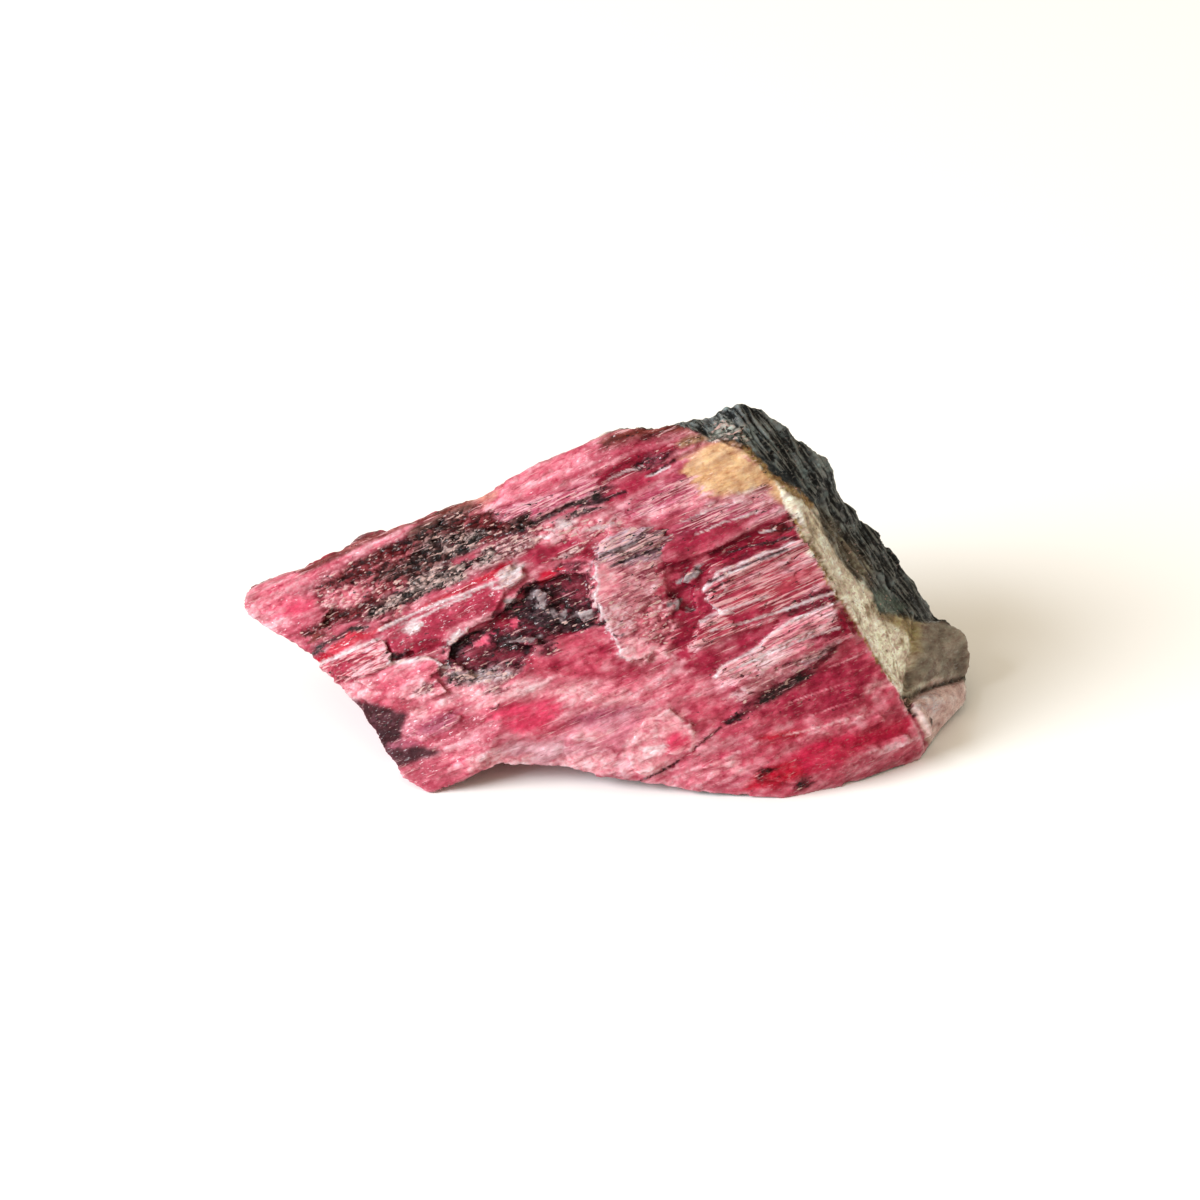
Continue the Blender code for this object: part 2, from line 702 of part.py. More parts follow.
def add_plates_and_hollows(stone):
    tree = surface_tree(stone)
    for name, (depth, text) in HOLLOWS.items():
        tool = slab(name, tree, outline_points(text), (CLEAR, CLEAR, -depth))
        combine(stone, tool, "DIFFERENCE")
    for name, (rise_left, rise_right, text) in PLATES.items():
        tool = slab(name, tree, outline_points(text), (rise_left, rise_right, -PLATE_ROOT))
        combine(stone, tool, "UNION")


def islands(shape):
    """The shape's separate shells, each as a set of faces."""
    left = set(shape.faces)
    found = []
    while left:
        start = left.pop()
        shell = {start}
        front = [start]
        while front:
            face = front.pop()
            for edge in face.edges:
                for other in edge.link_faces:
                    if other in left:
                        left.discard(other)
                        shell.add(other)
                        front.append(other)
        found.append(shell)
    return found


def collapse_short(shape):
    """Draws together the ends of very short edges, wherever that keeps the shell closed."""
    while True:
        for edge in shape.edges:
            if edge.calc_length() > WELD:
                continue
            first, second = edge.verts
            around_first = {other.other_vert(first) for other in first.link_edges}
            around_second = {other.other_vert(second) for other in second.link_edges}
            if len(around_first & around_second) == 2:
                bmesh.ops.pointmerge(shape, verts=[first, second], merge_co=first.co)
                break
        else:
            return


def clean(stone):
    """One closed shell of triangles with no very short edges."""
    shape = bmesh.new()
    shape.from_mesh(stone.data)
    bmesh.ops.triangulate(shape, faces=shape.faces, ngon_method="BEAUTY")
    shells = sorted(islands(shape), key=len)
    for shell in shells[:-1]:
        bmesh.ops.delete(shape, geom=list(shell), context="FACES")
    loose = [vert for vert in shape.verts if not vert.link_faces]
    bmesh.ops.delete(shape, geom=loose, context="VERTS")
    collapse_short(shape)
    open_edges = [edge for edge in shape.edges if len(edge.link_faces) != 2]
    if open_edges:
        raise ValueError(f"{len(open_edges)} edges of the stone do not have two faces")
    bmesh.ops.recalc_face_normals(shape, faces=shape.faces)
    shape.to_mesh(stone.data)
    shape.free()


def to_metres(stone):
    """Scales the stone to its length, its origin under the middle of its box."""
    points = [vert.co for vert in stone.data.vertices]
    low = Vector([min(point[axis] for point in points) for axis in range(3)])
    high = Vector([max(point[axis] for point in points) for axis in range(3)])
    shift = Vector((-(low.x + high.x) / 2, -(low.y + high.y) / 2, -low.z))
    scale = STONE_LENGTH / (high.x - low.x)
    stone.data.transform(Matrix.Scale(scale, 4) @ Matrix.Translation(shift))
    print("moved by", [round(value, 3) for value in shift], "then scaled by", round(scale / MM, 5))
    print("box", [round(value, 2) for value in (high - low) * scale / MM])


def paint(stone):
    """One plain finish for the whole stone: the rose pink that most of it shows."""
    material = bpy.data.materials.new("rhodonite_rose")
    material.use_nodes = True
    finish = material.node_tree.nodes["Principled BSDF"]
    finish.inputs["Base Color"].default_value = ROSE
    finish.inputs["Roughness"].default_value = 0.45
    finish.inputs["Metallic"].default_value = 0.0
    stone.data.materials.clear()
    stone.data.materials.append(material)


def main():
    clear_scene()
    cage = build_cage()
    cut_fine(cage)
    cage.normal_update()
    roughen(cage)
    ease_folds(cage)
    stone = to_object("rhodonite", cage)
    add_plates_and_hollows(stone)
    clean(stone)
    to_metres(stone)
    paint(stone)
    print("triangles", len(stone.data.polygons))


main()
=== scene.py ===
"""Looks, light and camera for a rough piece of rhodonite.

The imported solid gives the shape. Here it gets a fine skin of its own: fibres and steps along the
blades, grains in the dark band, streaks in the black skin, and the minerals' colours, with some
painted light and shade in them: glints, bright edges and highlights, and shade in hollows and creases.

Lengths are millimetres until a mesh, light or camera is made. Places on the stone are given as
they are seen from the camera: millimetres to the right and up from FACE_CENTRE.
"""

import math

import bpy
import numpy as np
from mathutils import Matrix, Vector

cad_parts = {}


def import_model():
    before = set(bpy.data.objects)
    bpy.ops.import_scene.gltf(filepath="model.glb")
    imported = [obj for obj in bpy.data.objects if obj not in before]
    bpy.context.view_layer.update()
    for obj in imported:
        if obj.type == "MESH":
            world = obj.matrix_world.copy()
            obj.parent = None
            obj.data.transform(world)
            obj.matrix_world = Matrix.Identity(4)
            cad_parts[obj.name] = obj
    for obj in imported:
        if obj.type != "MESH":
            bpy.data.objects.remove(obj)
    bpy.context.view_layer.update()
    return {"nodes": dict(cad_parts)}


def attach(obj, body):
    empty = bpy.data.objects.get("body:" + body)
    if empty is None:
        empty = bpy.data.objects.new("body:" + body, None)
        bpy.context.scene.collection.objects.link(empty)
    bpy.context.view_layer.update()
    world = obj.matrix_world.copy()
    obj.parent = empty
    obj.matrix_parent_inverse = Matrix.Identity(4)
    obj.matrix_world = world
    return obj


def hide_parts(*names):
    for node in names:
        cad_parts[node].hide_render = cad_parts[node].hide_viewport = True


MM = 0.001

# The view: it looks square at the cleaved face, which leans back
VIEW_ELEVATION = math.radians(28)
VIEW_DISTANCE = 213.1
FACE_CENTRE = np.array([-0.45, -2.97, 9.4])
FACE_RIGHT = np.array([1.0, 0.0, 0.0])
FACE_UP = np.array([0.0, math.sin(VIEW_ELEVATION), math.cos(VIEW_ELEVATION)])
FACE_OUT = np.array([0.0, -math.cos(VIEW_ELEVATION), math.sin(VIEW_ELEVATION)])
EYE = FACE_CENTRE + FACE_OUT * VIEW_DISTANCE
LENS = 100.0
SENSOR = 36.0
NEAREST_SEEN = 0.001
FARTHEST_SEEN = 10.0

# The blades climb to the right across the face, and the black skin is streaked down to the right
BLADE_ANGLE = math.radians(24)
SKIN_ANGLE = math.radians(-52)

# The fine mesh: its spacing, its number of triangles, and how it is thinned on the hidden side
VOXEL = 0.15
MOST_TRIANGLES = 190_000
HIDDEN_THINNING = 1.0
HIDDEN_STEPS = 4

# How often normals and points are averaged with their neighbours, for a calm surface
CALM_ROUNDS = 6
EDGE_ROUNDS = 3

# How fine relief fades towards the hidden side, and up from the ground
HIDDEN_TURN = 0.10
FRONT_TURN = 0.08
GROUND_FADE = (0.05, 0.8)

# The most height of the fine relief, in millimetres: fibres, grains, skin, lumps and the back's chips
FIBRE_HEIGHT = 0.09
GRAIN_HEIGHT = 0.20
SKIN_HEIGHT = 0.17
LUMP_HEIGHT = 0.09
CHIP_HEIGHT = 0.26

# The share of the fibre and grain relief that every mineral has
LEAST_RELIEF = 0.25

# The size of the grains and of the back's chips along, up and out of the blades
GRAIN_SIZE = (0.95, 0.4, 0.6)
CHIP_SIZE = (3.4, 1.5, 2)

# How far the ends of the ledges are drawn out into teeth
JAG = 0.40

# How far the relief may stand out past the points before it
BOX_MARGIN = 0.2

# How much height over the neighbours makes a point lighter (a painted highlight on raised edges,
# partly the whiter broken edges) and how much depth makes it darker (painted shade in hollows), the
# range of that, and its strength
EDGE_HEIGHT = 0.05
EDGE_RANGE = (-0.9, 1.1)
EDGE_LIGHT_AND_SHADE = 0.55

# How strongly the colours wander between the lightest and the darkest
WANDER_STRENGTH = 1.3

# How bright the light makes a white surface on the face; the colours below are as seen in it
LIGHT_COLOUR = (1.75, 1.58, 1.36)

# The room's light, and the window to the left of the stone
ROOM_COLOUR = (1.0, 0.87, 0.68, 1.0)
ROOM_STRENGTH = 0.76
WINDOW_PLACE = (-640, -300, 400)
WINDOW_SIZE = (520, 420)
WINDOW_POWER = 10.5
WINDOW_COLOUR = (0.90, 0.95, 1.0)
WINDOW_AIM = (0, 0, 8)

# The white floor, with its width in metres
FLOOR_SIZE = 4.0
FLOOR_COLOUR = (0.92, 0.92, 0.92, 1.0)
FLOOR_ROUGHNESS = 0.8
FLOOR_SHINE = 0.1

# Colours of what is finer than the mesh, in linear light: painted glints along the threads, the gaps
# between threads (dark crimson, partly painted shade), dark specks, pale chips, painted glints on
# glassy flecks and the sheen of the black skin
THREAD_GLINT_COLOUR = (0.66, 0.37, 0.39, 1.0)
GAP_DARK_AND_SHADE_COLOUR = (0.16, 0.014, 0.03, 1.0)
SPECK_COLOUR = (0.014, 0.010, 0.010, 1.0)
CHIP_COLOUR = (0.52, 0.34, 0.31, 1.0)
FLECK_GLINT_COLOUR = (0.66, 0.46, 0.44, 1.0)
SHEEN_COLOUR = (0.20, 0.21, 0.20, 1.0)

# How far light spreads under the surface: its share, then millimetres of red, green and blue
GLOW_SHARE = 0.10
GLOW_REACH = (0.5, 0.15, 0.15)

# Rounded lumps at the lower right: how far each swells out, then its outline as the camera sees it,
# in tenths of a millimetre
LUMPS = (
    (0.45, "202 -12,245 -10,250 -49,230 -50,214 -54,205 -59,195 -62,198 -42"),
    (0.55, "197 -66,203 -60,213 -55,230 -51,250 -51,240 -100,212 -100,206 -82"),
)
OUTLINE_STEPS = 10

# Where a lump swells and where the seam around it sinks, from outside to inside its outline, and the
# seam's depth as a share of the swelling
LUMP_SLOPE = (-0.1, 1.3)
SEAM_SLOPE = (-0.35, 0)
SEAM_DEPTH = 0.4

# Right of here, the lumps have that share less of the fine relief
LUMPS_FROM = (19.8, 20.6)
LUMPS_CALM = 0.75

# Noise that is added up: its kind, how much of it, its size in millimetres (the same every way, or
# along, up and out of the streaks) and its seed
NOISES = {
    "skin stray": [("waves", 0.45, 2.2, 19)],
    "run stray": [("waves", 0.3, (2.4, 0.8, 1.5), 11), ("splinters", 0.45, (1.6, 0.32, 0.8), 12)],
    "rise stray": [("waves", 0.16, (1.8, 0.7, 1.2), 13), ("splinters", 0.07, (0.7, 0.3, 0.5), 14)],
    "soft stray right": [("waves", 0.16, 1.3, 15), ("waves", 0.07, 0.4, 16)],
    "soft stray up": [("waves", 0.16, 1.3, 17), ("waves", 0.07, 0.4, 18)],
    "bands": [("layers", 1, (8, 1.9, 3.4), 31), ("splinters", 0.22, (2.6, 0.7, 1.2), 32)],
    "ledges": [("layers", 1, (6, 2.2, 3), 34)],
    "dark clouds": [("layers", 1, (6.5, 2, 3.2), 35), ("splinters", 0.2, (1.4, 0.5, 0.8), 39)],
    "veins": [("waves", 1, (9, 3.6, 5), 41)],
    "vein stray": [("waves", 0.25, 1.2, 42)],
    "skin edge": [("layers", 2.2, 6, 51), ("splinters", 0.35, 1.2, 52)],
    "rust": [("waves", 1, 4.5, 61)],
    "threads": [
        ("waves", 0.55, (7, 1.1, 2), 21),
        ("waves", 0.5, (3.5, 0.42, 1), 22),
        ("waves", 0.26, (2.2, 0.22, 0.6), 23),
        ("waves", 0.3, (1.2, 0.9, 1), 24),
        ("splinters", 0.3, (2.1, 0.6, 0.9), 25),
        ("splinters", 0.24, (0.9, 0.26, 0.5), 40),
    ],
    "grains": [
        ("splinters", 0.55, (0.75, 0.42, 0.5), 26),
        ("waves", 0.5, (1.8, 1, 1.2), 27),
        ("waves", 0.45, (0.7, 0.35, 0.5), 28),
    ],
    "clouds": [("waves", 0.8, 1.5, 36), ("waves", 0.6, 0.5, 37), ("splinters", 0.3, 0.5, 38)],
    "streaks": [
        ("waves", 0.75, (3, 0.4, 0.8), 29),
        ("waves", 0.6, (1.6, 0.22, 0.5), 30),
        ("waves", 0.35, 1.5, 33),
    ],
    "ribs": [("waves", 1, (5, 0.42, 1.2), 71), ("waves", 0.6, (2.6, 0.24, 0.8), 72)],
    "steps": [("splinters", 1, (2.2, 0.4, 0.8), 73)],
    "lumps": [("layers", 1, 1.6, 75)],
    "ridges": [
        ("waves", 1, (3.2, 0.42, 0.9), 76),
        ("waves", 0.6, (1.6, 0.25, 0.6), 77),
        ("splinters", 0.4, (1.8, 0.7, 0.9), 78),
    ],
    "teeth": [("splinters", 1, (3.5, 0.34, 0.9), 81)],
}
GRAIN_SEED = 74
CHIP_SEED = 79

# How steady the drawn lines are against the stray of the blades, where they start and are full
# outside their half width, and how much they cover
LINE_STEADINESS = 0.7
LINE_EDGE = (-1.7, -0.5)
LINE_STRENGTH = 0.9

# The hidden side: where each mineral starts and is full, in the noise named in paint_back
BACK_PALE = (("pale rose", 0.12, 0.20), ("blush", 0.42, 0.50))
BACK_DEEP = (("crimson rose", 0.05, 0.12), ("crimson", 0.30, 0.38), ("deep crimson", 0.52, 0.60))
BACK_LEDGES = (("ledge rose", 0.40, 0.46),)
BACK_DARK = (("wine grains", 0.34, 0.42), ("black grains", 0.52, 0.58), ("granular", 0.66, 0.72))
BACK_SKIN = (("quartz", 9.2, 9.5), ("skin", 10.6, 10.9))
SKIN_SLOPE = np.array([0.75, 0.0, 0.5])
VEIN_WIDTH = (0.015, 0.045)
RUST_START = (11.0, 12.0)
RUST_CLOUDS = (0.15, 0.45)

# What each point's looks hold, in the order of the minerals below
MAIN = slice(0, 3)
LIGHT = slice(3, 6)
DARK = slice(6, 9)
WANDER = 9
FIBRES = 10
COVER = slice(10, 13)
STREAKS = 13
FINISH = slice(13, 16)
COARSE = 15
LOOKS = 16

# Minerals that are not bladed, so that their outlines are smoother
MASSIVE = (
    "quartz", "quartz grey", "quartz bright", "skin", "skin blue", "skin brown", "teal", "olive",
    "brown", "pale lump", "ochre", "purple black",
)

# Minerals as seen: main, lightest and darkest colour in sRGB, then from 0 to 1 how much the
# colour wanders, fibres (with painted glints and shade along them), dark specks, pale grains,
# black-skin streaks, gloss and coarseness
MINERALS = {
    "rose": ((208, 92, 104), (250, 172, 172), (164, 24, 50), 1, 0.08, 0.03, 0.02, 0, 0.45, 0.15),
    "pale rose": ((240, 126, 134), (258, 196, 194), (202, 56, 80), 1, 0.1, 0, 0.02, 0, 0.4, 0.3),
    "blush": ((256, 162, 162), (266, 220, 214), (220, 84, 104), 1, 0.08, 0, 0.03, 0, 0.4, 0.4),
    "hot pink": ((244, 74, 102), (252, 140, 150), (202, 32, 64), 0.7, 0.05, 0, 0, 0, 0.5, 0.2),
    "rose fibres": ((210, 90, 110), (250, 176, 180), (142, 18, 48), 1, 0.7, 0.12, 0.03, 0, 0.5, 0.1),
    "ledge rose": ((220, 86, 98), (255, 192, 190), (158, 28, 52), 1, 0.7, 0.08, 0.03, 0, 0.5, 0.1),
    "ledge red": ((206, 74, 84), (246, 156, 156), (150, 22, 44), 0.9, 0.4, 0.1, 0.03, 0, 0.5, 0.1),
    "ledge pink": ((276, 160, 168), (284, 234, 230), (200, 58, 84), 1, 0.7, 0.05, 0.03, 0, 0.5, 0.1),
    "crimson rose": ((218, 82, 98), (250, 156, 160), (158, 20, 48), 1, 0.03, 0.04, 0.02, 0, 0.5, 0.15),
    "crimson": ((180, 40, 64), (226, 98, 112), (128, 10, 36), 0.9, 0.04, 0.05, 0.02, 0, 0.55, 0.15),
    "red": ((202, 14, 44), (240, 76, 92), (142, 4, 26), 0.8, 0.08, 0.04, 0.02, 0, 0.6, 0.15),
    "deep red": ((210, 34, 66), (234, 74, 96), (160, 10, 40), 0.7, 0.05, 0.02, 0.02, 0, 0.55, 0.15),
    "deep crimson": ((148, 16, 42), (194, 56, 74), (84, 4, 22), 0.9, 0.1, 0.1, 0.03, 0, 0.5, 0.2),
    "maroon": ((142, 42, 56), (192, 86, 98), (64, 10, 20), 0.9, 0.12, 0.18, 0.06, 0, 0.5, 0.3),
    "dark wine": ((70, 4, 6), (146, 48, 52), (22, 4, 6), 0.9, 0.1, 0.2, 0.08, 0, 0.45, 0.5),
    "wine grains": ((100, 10, 16), (206, 100, 104), (30, 8, 10), 1, 0.05, 0.15, 0.15, 0, 0.45, 0.9),
    "rose grains": ((232, 112, 120), (255, 192, 188), (136, 34, 48), 1, 0.15, 0.1, 0.2, 0, 0.45, 0.7),
    "brick": ((116, 44, 34), (182, 90, 80), (70, 18, 18), 0.8, 0.3, 0.15, 0.03, 0, 0.45, 0.2),
    "wine black": ((74, 18, 28), (150, 56, 70), (24, 8, 10), 1, 0.1, 0.25, 0.08, 0, 0.55, 0.6),
    "purple black": ((82, 36, 40), (134, 82, 88), (44, 20, 24), 0.7, 0.05, 0.1, 0.03, 0, 0.35, 0.3),
    "black": ((42, 14, 20), (96, 60, 64), (14, 6, 8), 0.8, 0.1, 0.25, 0.06, 0, 0.55, 0.6),
    "black grains": ((46, 10, 8), (134, 76, 70), (12, 6, 6), 1, 0.1, 0.3, 0.12, 0, 0.5, 1),
    "black fibres": ((84, 48, 50), (164, 122, 120), (24, 14, 16), 1, 0.3, 0.45, 0.12, 0, 0.5, 0.2),
    "granular": ((54, 34, 30), (196, 160, 146), (14, 8, 8), 1, 0.1, 0.3, 0.2, 0, 0.5, 1),
    "grey grains": ((158, 116, 112), (236, 206, 200), (54, 36, 38), 1, 0.15, 0.2, 0.36, 0, 0.5, 0.9),
    "pale crust": ((124, 120, 104), (226, 220, 200), (36, 34, 30), 1, 0.1, 0.3, 0.26, 0, 0.45, 1),
    "pale grains": ((136, 66, 66), (240, 190, 182), (64, 12, 22), 1, 0.4, 0.12, 0.2, 0, 0.5, 0.6),
    "mauve": ((214, 122, 124), (256, 206, 202), (136, 44, 60), 1, 0.35, 0.08, 0.12, 0, 0.5, 0.35),
    "mauve fibres": ((198, 142, 146), (246, 226, 226), (64, 36, 46), 1, 0.7, 0.2, 0.2, 0, 0.5, 0.2),
    "mauve rose": ((184, 82, 100), (214, 126, 138), (146, 48, 68), 0.7, 0.2, 0.05, 0.03, 0, 0.45, 0.2),
    "mauve blush": ((232, 126, 136), (248, 174, 178), (190, 92, 104), 0.8, 0.2, 0.02, 0.02, 0, 0.45, 0.2),
    "grey fibres": ((142, 104, 98), (232, 208, 204), (54, 32, 36), 1, 0.6, 0.2, 0.2, 0, 0.5, 0.2),
    # Pink made lighter as painted bounce light from the floor, where the face turns under
    "bounce lit undercut": ((246, 174, 176), (256, 206, 204), (200, 118, 126), 0.8, 0.1, 0.02, 0.02, 0, 0.4, 0.2),
    # A pale cream, put on below mostly as painted highlight: glints, bright edges along the ledges and the
    # highlight on the pale lump
    "bone and highlight": ((236, 204, 196), (255, 236, 228), (206, 150, 146), 0.8, 0.3, 0, 0.2, 0, 0.6, 0.3),
    "flake": ((150, 122, 118), (206, 184, 176), (92, 64, 64), 1, 0.1, 0, 0.1, 0, 0.4, 0.4),
    "peach": ((238, 178, 124), (252, 208, 162), (216, 140, 82), 0.6, 0.05, 0, 0.02, 0, 0.35, 0.3),
    "peach rose": ((224, 140, 118), (240, 170, 150), (196, 110, 92), 0.6, 0.15, 0, 0.05, 0, 0.35, 0.2),
    "ochre": ((154, 104, 70), (210, 164, 124), (84, 48, 30), 0.9, 0.2, 0.15, 0.15, 0, 0.4, 0.4),
    "amber": ((176, 132, 72), (206, 164, 104), (120, 80, 40), 0.6, 0.1, 0.1, 0.1, 0, 0.5, 0.4),
    "olive brown": ((112, 76, 62), (150, 110, 94), (64, 46, 38), 0.7, 0.1, 0.2, 0.05, 0, 0.4, 0.5),
    "quartz": ((276, 250, 212), (290, 282, 256), (164, 134, 100), 1, 0, 0.05, 0.2, 0, 0.45, 0.8),
    "quartz grey": ((258, 228, 186), (276, 262, 232), (150, 126, 98), 1, 0, 0.05, 0.1, 0, 0.45, 0.7),
    "quartz bright": ((306, 288, 248), (318, 306, 276), (196, 160, 120), 1, 0, 0.05, 0.2, 0, 0.5, 0.8),
    "teal": ((106, 114, 98), (144, 152, 132), (52, 60, 54), 0.9, 0, 0.1, 0.05, 0.3, 0.45, 0.6),
    "olive": ((184, 154, 102), (232, 204, 150), (112, 92, 58), 1, 0, 0.05, 0.03, 0.1, 0.5, 0.5),
    "brown": ((158, 138, 117), (192, 168, 144), (108, 92, 76), 0.7, 0, 0, 0, 0.05, 0.5, 0.2),
    "pale lump": ((248, 198, 182), (268, 236, 222), (190, 142, 128), 0.6, 0, 0, 0, 0, 0.8, 0.2),
    "skin": ((26, 27, 26), (150, 152, 144), (7, 8, 8), 1, 0, 0.08, 0.02, 1, 0.55, 0.3),
    "skin blue": ((34, 40, 43), (86, 92, 92), (16, 20, 24), 0.8, 0, 0, 0, 0.6, 0.6, 0.2),
    "skin brown": ((104, 88, 68), (176, 160, 132), (34, 30, 26), 1, 0, 0.12, 0.05, 0.8, 0.4, 0.6),
}

